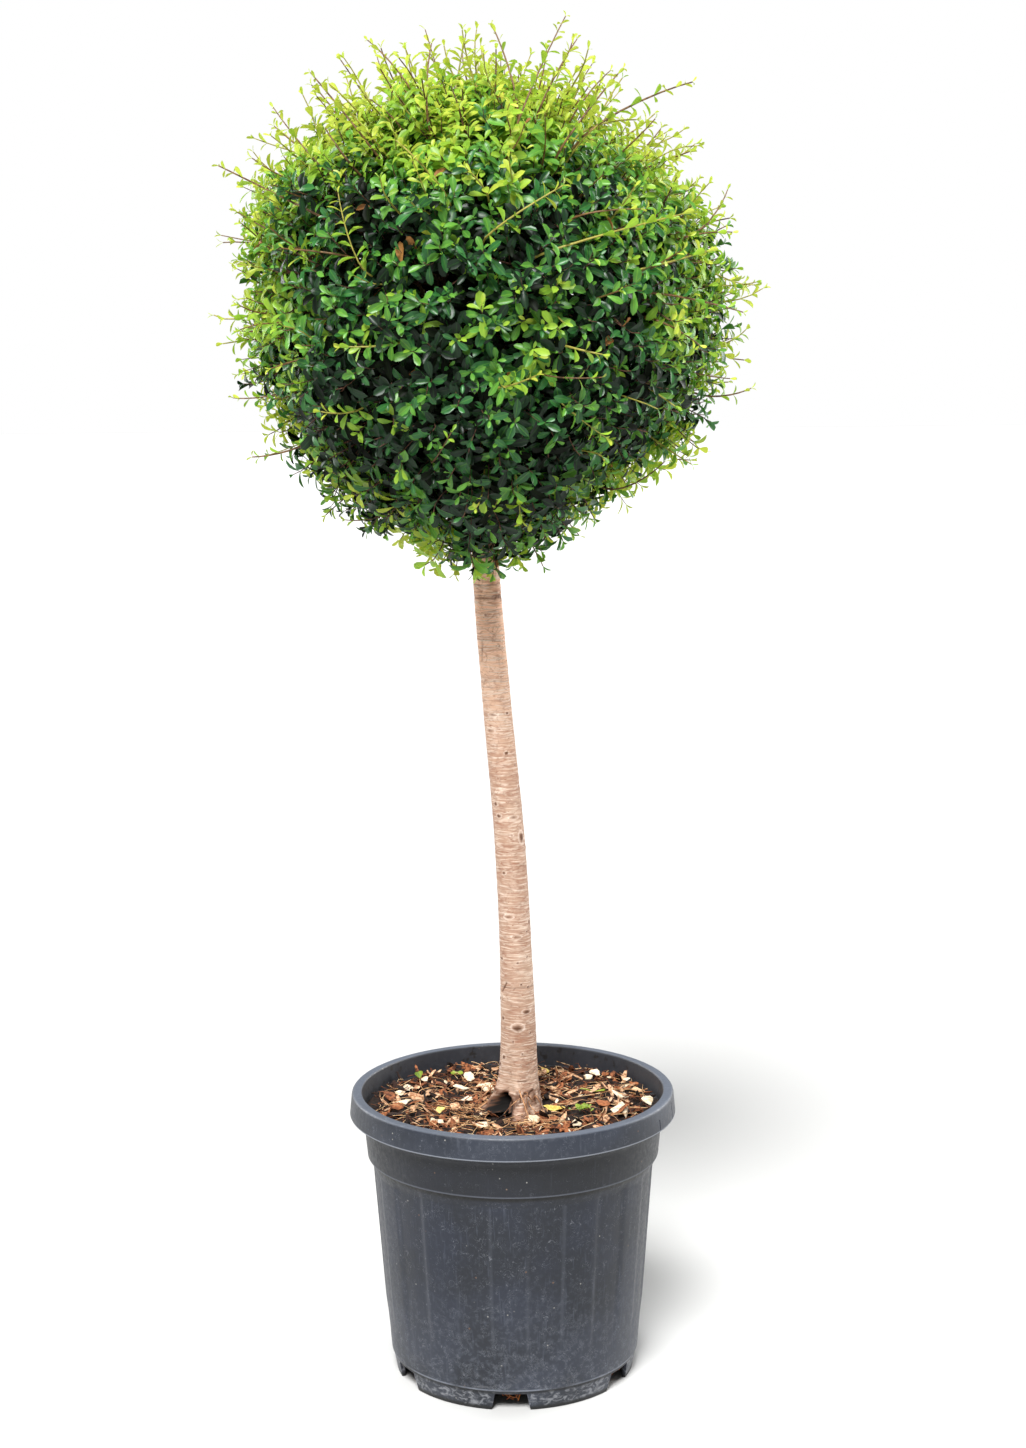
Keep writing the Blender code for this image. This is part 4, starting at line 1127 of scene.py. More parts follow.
def with_foot(angle, height, move, stain_and_shade, pallor):
    """Adds the rough crust below a wavy edge, and the hollow between two root lobes, darkened by
    painted shade.
    """
    round_it = round_stem(angle)
    edge = ROUGH_BELOW + 0.0028 * noise(round_it * 3.0)
    crust = clamped((edge - height) / 0.0022)
    rough = fractal(round_it * 3.4 + UP * height * 190.0, 0.7, 2.0, 4)
    move += 0.0012 * crust * rough
    stain_and_shade += crust * (0.40 + 0.80 * rough)
    pallor *= 1.0 - crust
    rise = height - TRUNK_BOTTOM
    away = degrees(remainder(angle - radians(HOLLOW_BEARING), tau))
    ragged = 1.0 + 0.22 * noise(Vector((away * 0.05, rise * 130.0, 3.0)))
    far = ((abs(away) / HOLLOW_HALF_WIDTH) ** 2.4 + (max(rise, 0.0) / HOLLOW_TOP) ** 2.4) * ragged
    hollow = exp(-(far**2.5))
    # A strand of bark parts the hollow in two chambers, and a lip of healed bark runs round it.
    hollow *= 1.0 - 0.7 * exp(-(((away - 4.0 - 300.0 * rise) / 3.2) ** 2))
    lip = exp(-(((far - 1.25) / 0.45) ** 2))
    move += 0.0026 * lip - HOLLOW_DEPTH * hollow
    # Painted shade: the hollow's stain takes its bark near black.
    stain_and_shade += 0.30 * lip + hollow * (2.1 + 0.8 * rough)
    return move, stain_and_shade, pallor


def bark_at(angle, height):
    """(move in or out, stain, pallor) of the bark at this bearing and height."""
    swell, crease, fine = wrinkles(angle, height)
    foot = exp(-max(height - 0.290, 0.0) / 0.020)
    bark = (
        0.00022 * swell - (0.00018 + 0.0004 * foot) * crease + 0.00008 * fine,
        crease * (0.20 + 0.25 * max(0.0, swell + 0.3)) + max(0.0, fine - 0.25) * 0.30,
        0.35 * max(0.0, swell - crease),
    )
    for rule in (with_marks, with_scars, with_foot):
        bark = rule(angle, height, *bark)
    return bark


print("bark in front at half a metre moves by", round(1000 * bark_at(0.0, 0.5)[0], 3), "mm")


# %% Pale bark
# Wavy wrinkles are level lines of a noise that is drawn out sideways: its size in mm, how flat it
# is, its value on the line, its curl, the zone, and how strongly the wrinkle shows.
WRINKLES = (
    (38.0, 8.0, 0.50, 0.5, [("patches", 0.30, 0.50)], 0.40),
    (32.0, 8.0, 0.43, 0.5, [("patches", 0.62, 0.45)], 0.40),
    (34.0, 6.0, 0.57, 0.8, [("up", 0.38, 0.50)], 0.32),
    (20.0, 2.4, 0.50, 1.0, [("up", 0.46, 0.56), ("patches", 0.46, 0.58)], 0.34),
)
BARK_LAYERS = (
    ("b1927c", 1.0, ("patches", 0.3, 0.7)),
    # Up under the head the stem is painted lighter and warmer, as painted light against the head's
    # shade.
    ("eec3a4", 0.74, ("up", 0.52, 0.70)),
    ("f6b48e", 0.42, ("up", 0.62, 0.72)),
    ("d2bba8", 1.0, ("threads", 0.44, 0.70)),
)
MARK_LAYERS = (
    ("ead9ca", 1.0, ("pallor", 0.0, 1.0)),
    ("8a6248", 1.0, ("pores", 0.68, 0.75)),
    ("5f3f2c", 1.0, ("stain_and_shade", -0.1, 1.1)),
    # Near black, reached mainly in the hollow of the foot, is painted shade.
    ("0d0906", 1.0, ("stain_and_shade", 1.35, 1.95)),
)


def pale_bark():
    """Smooth young bark: a thin pinkish-tan cork, dry and matt, darker in its pores and scars, with
    painted light under the head and painted shade in the hollow.
    """
    material, tree, shader = blank_material("smooth_pale_bark", 0.78, 1.45)
    place = add_node(tree, "TexCoord", out="Object")
    values = {
        "up": add_node(tree, "SeparateXYZ", {"Vector": place}, "Z"),
        # Patches some 30 mm tall, level threads about a millimetre apart, and flat oval pores.
        "patches": noise_at(tree, place, 30.0, (1.0, 1.0, 0.7)),
        "threads": noise_at(tree, place, 17.0, (1.0, 1.0, 14.0)),
        "pores": noise_at(tree, place, 3.0, (1.0, 1.0, 3.2), 1.0),
    }
    for name in ("stain_and_shade", "pallor"):
        values[name] = add_node(tree, "Attribute", attribute_name=name, out="Fac")
    colour = paint(tree, from_hex("a07c66"), BARK_LAYERS, values)
    # Each wrinkle is a brown crease under a pale crest.
    for size_mm, flat, line, curl, zone, strength in WRINKLES:
        values["wave"] = noise_at(tree, place, size_mm, (1.0, 1.0, flat), 1.0, curl)
        crease = ("wave", line - 0.050, line - 0.012), ("wave", line + 0.030, line - 0.004)
        crest = ("wave", line + 0.010, line + 0.034), ("wave", line + 0.080, line + 0.050)
        layers = ("86523a", strength, *crease, *zone), ("efe0d0", 0.40 * strength, *crest, *zone)
        colour = paint(tree, colour, layers, values)
    colour = paint(tree, colour, MARK_LAYERS, values)
    finish_shader(tree, shader, colour, (values["threads"], 0.30, 0.0003))
    return material


trunk_bark = pale_bark()
print("pale bark has", len(trunk_bark.node_tree.nodes), "shader nodes")

# %% Build the trunk
TRUNK_SIDES, ROWS_SEEN, ROWS_HIDDEN = 104, 600, 40
HIDDEN_ABOVE = 0.790
heights = list(np.linspace(TRUNK_BOTTOM, HIDDEN_ABOVE, ROWS_SEEN))
heights += list(np.linspace(HIDDEN_ABOVE, TRUNK_TOP, ROWS_HIDDEN + 1)[1:])
points, stains_and_shade, pallors = [], [], []
for height in heights:
    middle, plain = trunk_axis(height), trunk_radius(height)
    for side in range(TRUNK_SIDES):
        angle = tau * side / TRUNK_SIDES
        move, stain_and_shade, pallor = bark_at(angle, height)
        points.append(middle + bearing(angle) * (plain + root_flare(height, angle) + move))
        stains_and_shade.append(min(stain_and_shade, 2.0))
        pallors.append(min(pallor, 1.0))
quads = ring_quads(len(heights), TRUNK_SIDES)
trunk = mesh_piece("trunk_with_bark", np.array(points), quads, trunk_bark)
for name, values in (("stain_and_shade", stains_and_shade), ("pallor", pallors)):
    layer = trunk.data.attributes.new(name, "FLOAT", "POINT")
    layer.data.foreach_set("value", np.array(values, np.float32))
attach(trunk, "root")
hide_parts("trunk")
print("trunk has", len(quads), "faces, stains up to", max(stains_and_shade))

# %% A web of fine roots over the hollow
# Where they start, in degrees: on the lobes left and right of the hollow, which stays open.
WEB_FROM = ((-104.0, -66.0), (-8.0, 44.0))
WEB_ROOTS, WEB_STEPS, WEB_HEIGHTS = 16, 12, (0.013, 0.023)
rng = np.random.default_rng(63)
starts, ends, outward = [], [], []
for root in range(WEB_ROOTS):
    turn = radians(rng.uniform(*WEB_FROM[root % len(WEB_FROM)]))
    height = TRUNK_BOTTOM + rng.uniform(*WEB_HEIGHTS)
    out = trunk_radius(height) + root_flare(height, turn) + 0.0012
    starts.append(trunk_axis(height) + bearing(turn) * out)
    outward.append(bearing(turn))
    turn += radians(rng.normal(0.0, 16.0))
    out = trunk_radius(TRUNK_BOTTOM) + root_flare(TRUNK_BOTTOM, turn) + rng.uniform(-0.004, 0.012)
    end = trunk_axis(TRUNK_BOTTOM) + bearing(turn) * out
    ends.append(Vector((end.x, end.y, mix_height(end.x, end.y) + 0.0008)))
first, last, outward = np.array(starts), np.array(ends), np.array(outward)
bend = rng.normal(0.0, 0.0085, (2, WEB_ROOTS, 3))
leave = first + outward * rng.uniform(0.001, 0.007, (WEB_ROOTS, 1)) + bend[0]
arrive = last + outward * 0.003 + UP_ROW * rng.uniform(0.002, 0.012, (WEB_ROOTS, 1)) + bend[1]
radii = tapering(WEB_ROOTS, WEB_STEPS, 0.00055, 0.00030, rng, (0.5, 1.6))
web_tubes = tubes(bezier(first, leave, arrive, last, WEB_STEPS), radii, 5)
web_bark = crumbly_material("fine_root_bark", "6a4028", "c09068", 6.0)
mulch_piece("roots_over_the_hollow", *web_tubes, web_bark)
print(WEB_ROOTS, "fine roots over the hollow")


# %% [markdown]
# ## The crown's framework
#
# A clipped head is not a ball of leaves on a stick. Boughs leave the stem, fork into limbs and
# branches, and only the outermost shoots carry leaves, because the shears keep letting light in
# there. So the crown is grown in that order. Each order of wood is a set of directions spread
# evenly over the ball, and each member starts at the nearest point of the wood before it that
# belongs to the same mass. Numpy arrays keep some thousands of curves to a few seconds.

# %% Masses and boughs, by the CAD model's rule
CROWN_CENTRE, CORE_ROUGHNESS = Vector((-0.0190, 0.0, 0.978)), 0.012
RING_MASSES = 5
# Each ring of boughs: how far it is turned, in steps; elevation of its masses in degrees; height
# where the first bough leaves the trunk, and how much higher the next; reach, height and upward
# angle of the tips; upward angle at the trunk; diameter there.
BOUGH_RINGS = (
    (0.0, -30.0, 0.800, 0.005, 0.066, 0.846, 8.0, 42.0, 0.0100),
    (0.5, 27.0, 0.852, 0.007, 0.078, 1.012, 42.0, 66.0, 0.0110),
)
LEADER_TIP, LEADER_DIAMETER = 1.082, 0.0136
BOUGH_TIP_DIAMETER = 0.0064
STEM_LENGTH, STEM_TIP_RADIUS = 0.045, 0.0016
BOUGH_STEPS, STEM_STEPS = 22, 9


def bough_rows():
    """For each bough: mass direction, start, rise there, end, arrival, outward and diameter."""
    rows = []
    for aside, elevation, foot, step, reach, rise, arrive, leave, diameter in BOUGH_RINGS:
        for i in range(RING_MASSES):
            angle = tau * (i + aside) / RING_MASSES
            start = trunk_axis(foot + step * (i * 2 % RING_MASSES))
            end = trunk_axis(min(rise, TRUNK_TOP)) + bearing(angle) * reach
            end.z = rise
            mass, tip = towards(angle, radians(elevation)), towards(angle, radians(arrive))
            rows.append((mass, start, leave, end, tip, bearing(angle), diameter))
    start = trunk_axis(TRUNK_TOP) - UP * 0.004
    end = Vector((CROWN_CENTRE.x, 0.006, LEADER_TIP))
    rows.append((UP, start, 84.0, end, UP, bearing(radians(90.0)), LEADER_DIAMETER))
    return rows


rows = bough_rows()
lengths = [round(1000 * (end - start).length) for _, start, _, end, *_ in rows]
print(len(rows), "boughs, whose straight lengths in mm are", lengths)

# %% Build the main boughs
mass_towards, starts, ends, arrivals, outwards = (
    np.array([row[k] for row in rows]) for k in (0, 1, 3, 4, 5)
)
leaves_at = np.array([row[5] * cos(radians(row[2])) + UP * sin(radians(row[2])) for row in rows])
on_bark = np.array([trunk_radius(row[1].z) for row in rows[:-1]] + [0.0])
feet = starts + outwards * on_bark[:, None]
spans = np.linalg.norm(ends - feet, axis=1, keepdims=True)
leave, arrive = feet + leaves_at * spans * 0.4, ends - arrivals * spans * 0.35
limb_part = bezier(feet, leave, arrive, ends, BOUGH_STEPS)
inside_trunk = feet - leaves_at * 0.006
stem_way = STEM_LENGTH * np.arange(1, STEM_STEPS + 1) / STEM_STEPS
stem_part = ends[:, None, :] + arrivals[:, None, :] * stem_way[None, :, None]
bough_paths = np.concatenate([inside_trunk[:, None, :], limb_part, stem_part], axis=1)
first_radius = np.array([row[6] for row in rows])[:, None] / 2
share = np.linspace(0.0, 1.0, BOUGH_STEPS)[None, :]
limb_radii = first_radius * (1 - share) + BOUGH_TIP_DIAMETER / 2 * share
stem_radii = np.linspace(BOUGH_TIP_DIAMETER / 2, STEM_TIP_RADIUS, STEM_STEPS)[None, :]
stem_radii = np.repeat(stem_radii, len(rows), axis=0)
bough_radii = np.concatenate([first_radius * 1.12, limb_radii, stem_radii], axis=1)
rng = np.random.default_rng(21)
bough_radii *= 1.0 + 0.06 * rng.standard_normal(bough_radii.shape)
points, quads = tubes(bough_paths, bough_radii, 12)
bough_bark = crumbly_material("grey_brown_bough_bark", "4b382b", "8d7159", 5.0, 0.82)
boughs = mesh_piece("main_boughs", points, quads, bough_bark)
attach(boughs, "root")
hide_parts(*bough_nodes)
print(len(rows), "boughs drawn with", len(quads), "faces")


# %% Rules for finer wood
def even_directions(count, jitter, rng):
    """Directions spread evenly over a ball by the golden angle, each a little astray."""
    i = np.arange(count)
    height = 1.0 - 2.0 * (i + 0.5) / count
    rows = level(GOLDEN_ANGLE * i) * np.sqrt(1.0 - height**2)[:, None]
    rows[:, 2] = height
    return unit(rows + rng.normal(0.0, jitter, rows.shape))


def grow(wood, directions, tips, wanted_length, lift, steps, rng):
    """Curves to the tips, each from the point of earlier wood nearest to where it would start."""
    mass = np.argmax(directions @ mass_towards.T, axis=1)
    wanted = tips - directions * wanted_length[:, None]
    candidates = wood["paths"][:, wood["first"] :]
    flat = candidates.reshape(-1, 3)
    flat_mass = np.repeat(wood["mass"], candidates.shape[1])
    along = unit(np.gradient(wood["paths"], axis=1))[:, wood["first"] :].reshape(-1, 3)
    distance = np.linalg.norm(wanted[:, None, :] - flat[None, :, :], axis=2)
    distance += np.where(mass[:, None] == flat_mass[None, :], 0.0, 0.05)
    nearest = distance.argmin(axis=1)
    first = flat[nearest]
    span = np.linalg.norm(tips - first, axis=1, keepdims=True)
    straight = unit(tips - first)
    leave = unit(along[nearest] * 0.5 + straight + rng.normal(0.0, 0.12, straight.shape))
    arrive = unit(directions + UP_ROW * lift + rng.normal(0.0, 0.22, straight.shape))
    paths = bezier(first, first + leave * span * 0.36, tips - arrive * span * 0.34, tips, steps)
    return {"paths": paths, "mass": mass, "first": 1}


middle = even_directions(500, 0.0, np.random.default_rng(0)).mean(axis=0)
print("500 even directions have their middle at", middle.round(3).tolist())

# %% The clipped outline
# How much fuller or leaner the clipped outline is than the ball, by the angle from +X up to +Z.
OUTLINE = (
    (0, 0.004), (25, -0.006), (45, -0.022), (62, -0.032), (80, -0.014), (100, -0.014),
    (125, -0.014), (150, 0.014), (170, 0.002), (200, 0.000), (225, 0.010), (250, 0.010),
    (270, 0.024), (288, 0.006), (305, -0.006), (330, 0.002), (360, 0.006),
)


def noise_rows(rows, per_metre):
    """The noise at each row of places."""
    return np.array([noise(Vector(row) * per_metre) for row in rows])


def lump(directions):
    """How far the clipped surface stands off the ball: the outline's own form, and lumps."""
    turn = np.degrees(np.arctan2(directions[:, 2], directions[:, 0])) % 360.0
    at_outline = np.hypot(directions[:, 0], directions[:, 2]) ** 2
    outline = np.interp(turn, *np.array(OUTLINE).T) * at_outline
    return outline + CORE_ROUGHNESS * noise_rows(directions, 3.1)


def ease(values, low, high):
    """0 at low and 1 at high, with a soft start and end, for a whole array."""
    t = np.clip((values - low) / (high - low), 0.0, 1.0)
    return t * t * (3 - 2 * t)


leanest, fullest = (round(1000 * end(row[1] for row in OUTLINE)) for end in (min, max))
print("the outline stands", leanest, "to", fullest, "mm off the ball")

# %% Limbs and branches
centre = np.array(CROWN_CENTRE)
LIMBS, BRANCHES, SHOOTS = 120, 560, 2650
LIMB_STEPS, BRANCH_STEPS = 12, 9
rng = np.random.default_rng(22)
wood = {"paths": bough_paths, "mass": np.arange(len(rows)), "first": BOUGH_STEPS // 2}
limb_to = even_directions(LIMBS, 0.10, rng)
tips = centre + limb_to * rng.uniform(0.128, 0.150, LIMBS)[:, None]
limbs = grow(wood, limb_to, tips, np.full(LIMBS, 0.070), 0.25, LIMB_STEPS, rng)
branch_to = even_directions(BRANCHES, 0.06, rng)
tips = centre + branch_to * (rng.uniform(0.166, 0.182, BRANCHES) + lump(branch_to))[:, None]
branches = grow(limbs, branch_to, tips, np.full(BRANCHES, 0.052), 0.3, BRANCH_STEPS, rng)
print(LIMBS, "limbs and", BRANCHES, "branches")

# %% Leafy shoots up to the clipped surface
CLIPPED_RADIUS, SHOOT_STEPS = 0.2045, 7
shoot_to = even_directions(SHOOTS, 0.035, rng)
shoot_reach = CLIPPED_RADIUS + lump(shoot_to) + rng.normal(0.0, 0.0080, SHOOTS)
# Here and there the shoots are shorter, and one looks into the shade between them.
pits = noise_rows(shoot_to, 9.0)
shoot_reach -= 0.019 * ease(pits, 0.10, 0.50)
tips = centre + shoot_to * shoot_reach[:, None]
shoot_lengths = rng.uniform(0.034, 0.050, SHOOTS)
shoots = grow(branches, shoot_to, tips, shoot_lengths, 0.35, SHOOT_STEPS, rng)
print(SHOOTS, "short leafy shoots")

# %% [markdown]
# Since the last clipping the strongest buds have run out past the surface: straight new shoots with
# yellow or red-brown stems. Those that make the outline are named by their place round the ball,
# as in the CAD model, and the others are seeded, with more of them near the top, where growth is
# strongest.

# %% Long new shoots
# Around the outline: angle from +X up to +Z in degrees, and metres from the ball's middle.
SIDE_SHOOTS = (
    (5.0, 0.236), (35.0, 0.228), (68.0, 0.236), (93.0, 0.232), (107.0, 0.226), (140.0, 0.236),
    (166.0, 0.234), (184.0, 0.237), (196.0, 0.226), (215.0, 0.230), (324.0, 0.229),
)
MORE_SHOOTS, LONG_STEPS, FURTHEST = 190, 8, 0.238
rng = np.random.default_rng(23)
side_angles, side_reach = np.array(SIDE_SHOOTS).T
turns = np.radians(side_angles)
side_to = np.stack([np.cos(turns), np.zeros(len(turns)), np.sin(turns)], axis=1)
more_to = even_directions(MORE_SHOOTS * 2, 0.10, rng)
keep = rng.random(len(more_to)) < np.clip(0.42 + 0.55 * more_to[:, 2], 0.12, 1.0)
more_to = more_to[keep]
more_reach = CLIPPED_RADIUS + lump(more_to) + 0.012 + rng.uniform(0.002, 0.026, len(more_to))
more_reach += 0.012 * np.clip(more_to[:, 2], 0.0, 1.0)
long_to = np.concatenate([side_to, more_to])
long_reach = np.concatenate([side_reach, np.minimum(more_reach, FURTHEST)])
# Each tip is set a little aside from its own direction, so that the shoot leans over the surface.
lean = rng.normal(0.0, 0.020, long_to.shape)
lean[: len(side_to)] *= 0.25
lean -= long_to * np.sum(lean * long_to, axis=1, keepdims=True)
tips = centre + long_to * long_reach[:, None] + lean
long_lengths = rng.uniform(0.060, 0.085, len(long_to))
long_shoots = grow(branches, long_to, tips, long_lengths, 0.15, LONG_STEPS, rng)
print(len(long_to), "long new shoots")

# %% Shoots across the front
# Some lie across the front or cross the outline: x and z in mm from the ball's middle, of where
# they leave the surface and of the tip. The first have yellow stems, the second red-brown ones.
YELLOW_ACROSS = (
    (1, 44, 65, 85), (42, 30, 170, 67), (125, 20, 190, 38), (-94, 18, -114, 83),
    (-35, 91, -67, 123), (59, -82, 100, -114), (7, -74, 43, -63), (-70, -38, -112, -39),
    (-102, -92, -133, -91), (63, -39, 96, -47), (203, -42, 230, -26), (7, 79, -11, 99),
    (26, -141, 30, -183), (79, 132, 127, 143),
)
RED_ACROSS = (
    (-88, 120, -140, 185), (-54, 166, -94, 214), (-64, 138, -90, 160), (-43, 139, -40, 207),
    (-122, 97, -172, 158), (-105, 106, -127, 138), (-123, 62, -217, 110), (-165, 52, -210, 77),
    (-110, 34, -168, 41), (79, 126, 175, 175), (32, 140, 10, 221), (24, 121, 70, 226),
    (47, 150, 80, 211), (78, 152, 108, 187), (64, 117, 117, 185), (181, 53, 209, 91),
    (175, 52, 212, 55), (137, 3, 217, -13), (46, -63, 96, -65), (194, -85, 235, -77),
    (100, -163, 153, -137), (-45, -136, -25, -107), (-73, -176, -122, -187),
    (-150, -120, -202, -132), (-174, -78, -217, -81), (75, 63, 128, 68), (142, -18, 179, -40),
    (-6, -185, 11, -165),
)
# They leave the leaves and end at these distances from the middle. A tip keeps at least the share
# FACE_HOLD of its start's depth, so that none hugs the ball.
FACE_LEAVES_AT, FACE_TIP_AT, FACE_HOLD = 0.200, 0.224, 0.72
face = np.array(YELLOW_ACROSS + RED_ACROSS) / 1000.0
face_is_red = np.arange(len(face)) >= len(YELLOW_ACROSS)
from_x, from_z, to_x, to_z = face.T
from_y = -np.sqrt(np.maximum(FACE_LEAVES_AT**2 - from_x**2 - from_z**2, 0.0))
to_y = -np.sqrt(np.maximum(FACE_TIP_AT**2 - to_x**2 - to_z**2, 0.0))
to_y = np.minimum(to_y, FACE_HOLD * from_y)
first = centre + np.stack([from_x, from_y, from_z], axis=1)
last = centre + np.stack([to_x, to_y, to_z], axis=1)
bulge = unit(first - centre) * 0.35 * np.linalg.norm(last - first, axis=1, keepdims=True)
leave, arrive = first + bulge * 0.6, last * 0.7 + first * 0.3 + bulge * 0.3
face_paths = bezier(first - unit(first - centre) * 0.012, leave, arrive, last, LONG_STEPS)
face_to = unit(last - centre)
print(len(face_to), "shoots across the front")


# %% [markdown]
# ## Leaves
#
# Each leaf is small, leathery and widest past its middle, with a blunt tip, a shallow fold along
# its midrib and a slight droop. A picture of a leaf on a square card would be cheaper, but its edge
# and its gloss would be false from close by. A sheet of sixteen triangles in the leaf's own outline
# is enough. Leaves sit in pairs, each a quarter turn from the last, and they twist to the light.

# %% One leaf as a template
# Rows across the blade: share of the way to the tip, and share of the full half width.
LEAF_ROWS = ((0.17, 0.28), (0.42, 0.70), (0.69, 1.00), (0.90, 0.76))
LEAF_LENGTH, LEAF_WIDTH = 0.0168, 0.0069
leaf_corners = [(0.0, 0.0)]
leaf_corners += [(place, side * half) for place, half in LEAF_ROWS for side in (-1.0, 0.0, 1.0)]
leaf_t, leaf_s = np.array(leaf_corners + [(1.0, 0.0)]).T
leaf_triangles = [(0, 1, 2), (0, 2, 3)]
for low in range(1, 3 * len(LEAF_ROWS) - 2, 3):
    # Two panels, left and right of the midrib, each cut in two from the midrib's lower point.
    leaf_triangles += [(low, low + 3, low + 1), (low + 1, low + 3, low + 4)]
    leaf_triangles += [(low + 1, low + 4, low + 5), (low + 1, low + 5, low + 2)]
last = 3 * len(LEAF_ROWS) - 2
leaf_triangles += [(last, last + 3, last + 1), (last + 1, last + 3, last + 2)]
leaf_triangles = np.array(leaf_triangles)
print("one leaf has", len(leaf_triangles), "triangles")


def leaf_sheets(foot, along, normal, length, width, fold, droop):
    """Points (n, corners, 3) of leaves from foot towards along, with their upper side to normal."""
    across = unit(np.cross(along, normal))
    normal = np.cross(across, along)
    length, half, fold, droop = (row[:, None, None] for row in (length, width / 2, fold, droop))
    t, s = leaf_t[None, :, None], leaf_s[None, :, None]
    rise = fold * np.abs(s) * half - droop * t**2 * length
    sheet = foot[:, None, :] + along[:, None, :] * (t * length)
    return sheet + across[:, None, :] * (s * half) + normal[:, None, :] * rise


# %% Pairs of leaves along shoots
def at_share(paths, share):
    """The point and the direction of each path at its own share of the way, 0 to 1."""
    place = share * (paths.shape[1] - 1)
    low = np.minimum(place.astype(int), paths.shape[1] - 2)
    row = np.arange(len(paths))
    first, second = paths[row, low], paths[row, low + 1]
    part = (place - low)[:, None]
    return first + (second - first) * part, unit(second - first)


# The lowest part of a shoot is bare, and some leaves have fallen.
BARE_SHARE, MISSING_SHARE = 0.12, 0.04
# How far a pair turns and a leaf leans at random, in radians.
ROLL_SPREAD, OPENING_SPREAD = 0.22, 0.16


def leaf_pairs(paths, spray, rng, pairs, spacing, sizes, openings, to_light=0.55):
    """Rows of leaves for these shoots: foot, along, normal, size, spray number and pair number."""
    found = []
    lengths = np.linalg.norm(np.diff(paths, axis=1), axis=2).sum(axis=1)
    first_roll = rng.uniform(0.0, pi, len(paths))
    for pair in range(pairs):
        share = 1.0 - (0.0006 + spacing * pair) / lengths
        foot, along = at_share(paths, np.clip(share, 0.0, 1.0))
        across, over = beside(along, along)
        roll = first_roll + pair * pi / 2 + rng.normal(0.0, ROLL_SPREAD, len(paths))
        side = across * np.cos(roll)[:, None] + over * np.sin(roll)[:, None]
        for out in (side, -side):
            opening = np.radians(openings[min(pair, len(openings) - 1)])
            opening = opening + rng.normal(0.0, OPENING_SPREAD, len(paths))
            ahead, aside = np.cos(opening)[:, None], np.sin(opening)[:, None]
            line = unit(along * ahead + out * aside + rng.normal(0.0, 0.08, along.shape))
            upper = along * aside - out * ahead
            light = unit(foot - centre) * 0.6 + UP_ROW * 0.5
            normal = unit(upper + light * to_light + rng.normal(0.0, 0.16, along.shape))
            normal = unit(normal - line * np.sum(normal * line, axis=1, keepdims=True))
            size = sizes[min(pair, len(sizes) - 1)] * rng.uniform(0.82, 1.14, len(paths))
            chosen = (share > BARE_SHARE) & (rng.random(len(paths)) > MISSING_SHARE)
            rows = (foot, line, normal, size, spray, np.full(len(paths), pair))
            found.append([row[chosen] for row in rows])
    return found


# %% Leaves of every kind of shoot
rng = np.random.default_rng(24)
counts = np.cumsum([SHOOTS, len(long_to), BRANCHES, len(face_to)])
short_spray, long_spray, inner_spray, face_spray = np.split(np.arange(counts[-1]), counts[:-1])
# For each kind: its paths and spray numbers, pairs of leaves, metres between pairs, sizes and
# opening angles in degrees from the tip down, and for some how far the leaves turn to the light.
found = []
for paths, spray, *rule in (
    (shoots["paths"], short_spray,
     6, 0.0066, (0.50, 0.82, 1.0, 1.0, 0.97), (28.0, 54.0, 68.0, 76.0, 84.0)),
    (long_shoots["paths"], long_spray,
     7, 0.0112, (0.42, 0.62, 0.80, 0.92, 1.0), (20.0, 36.0, 44.0, 50.0, 56.0), 0.3),
    (branches["paths"], inner_spray, 5, 0.011, (0.9, 1.0, 1.0), (60.0, 70.0)),
    (face_paths[face_is_red], face_spray[face_is_red],
     9, 0.0104, (0.36, 0.44, 0.52, 0.60, 0.68, 0.76), (22.0, 38.0, 46.0, 54.0), 0.45),
    (face_paths[~face_is_red], face_spray[~face_is_red],
     10, 0.0086, (0.46, 0.60, 0.72, 0.80, 0.86, 0.90), (22.0, 40.0, 50.0, 58.0), 0.75),
):
    found += leaf_pairs(paths, spray, rng, *rule)
leaf_foot, leaf_along, leaf_normal, leaf_size, leaf_spray, leaf_pair = (
    np.concatenate(column) for column in zip(*found)
)
print(len(leaf_foot), "leaves")

# %% [markdown]
# ## Which spray is which green
#
# Old leaves are deep bluish green, leaves of the last flush are mid green, and the newest are
# yellow green. Youth is not spread evenly: the top, the flanks and the lower fringe have sprouted
# most, and on the flanks and the fringe the yellow green is also painted light, the glow of the
# lamps behind. A number for each spray, its freshness, adds up those zones, a drifting unevenness
# and chance, and decides the spray's green. It also holds painted shade: the sprays under the head
# and inside it are pushed to the darkest greens. The pairs nearest a shoot's tip are a little
# younger, and those further in are darker, partly as painted shade.

# %% Freshness of each spray, with painted light and shade
sprays_to = np.concatenate([shoot_to, long_to, branch_to, face_to])
paths_of_sprays = (shoots["paths"], long_shoots["paths"], branches["paths"], face_paths)
sprays_at = np.concatenate([paths[:, -1] for paths in paths_of_sprays])
right, back, up = sprays_to.T
drift = noise_rows(sprays_at, 14.0)
rng = np.random.default_rng(25)
freshness_and_painted_light = 0.15 + 0.30 * drift + rng.normal(0.0, 0.20, len(sprays_at))
freshness_and_painted_light += 0.72 * ease(up, 0.26, 0.88)
# The flanks are yellower: young growth, and painted light of the lamps behind shining through.
not_low = ease(up, -0.62, -0.05)
freshness_and_painted_light += 0.46 * ease(-right, 0.60, 0.92) * not_low
freshness_and_painted_light += 0.40 * ease(right, 0.52, 0.86) * not_low
# The lower fringe has sprouted in patches on the flanks and behind, where it gets more sun, and its
# yellow green there is also painted light: the glow of the lamps behind through its leaves.
fringe = ease(np.hypot(right, up), 0.88, 0.98) * ease(back, -0.60, -0.10)
fringe *= ease(-up, 0.20, 0.45) * ease(drift, -0.20, 0.12)
freshness_and_painted_light += 0.95 * fringe
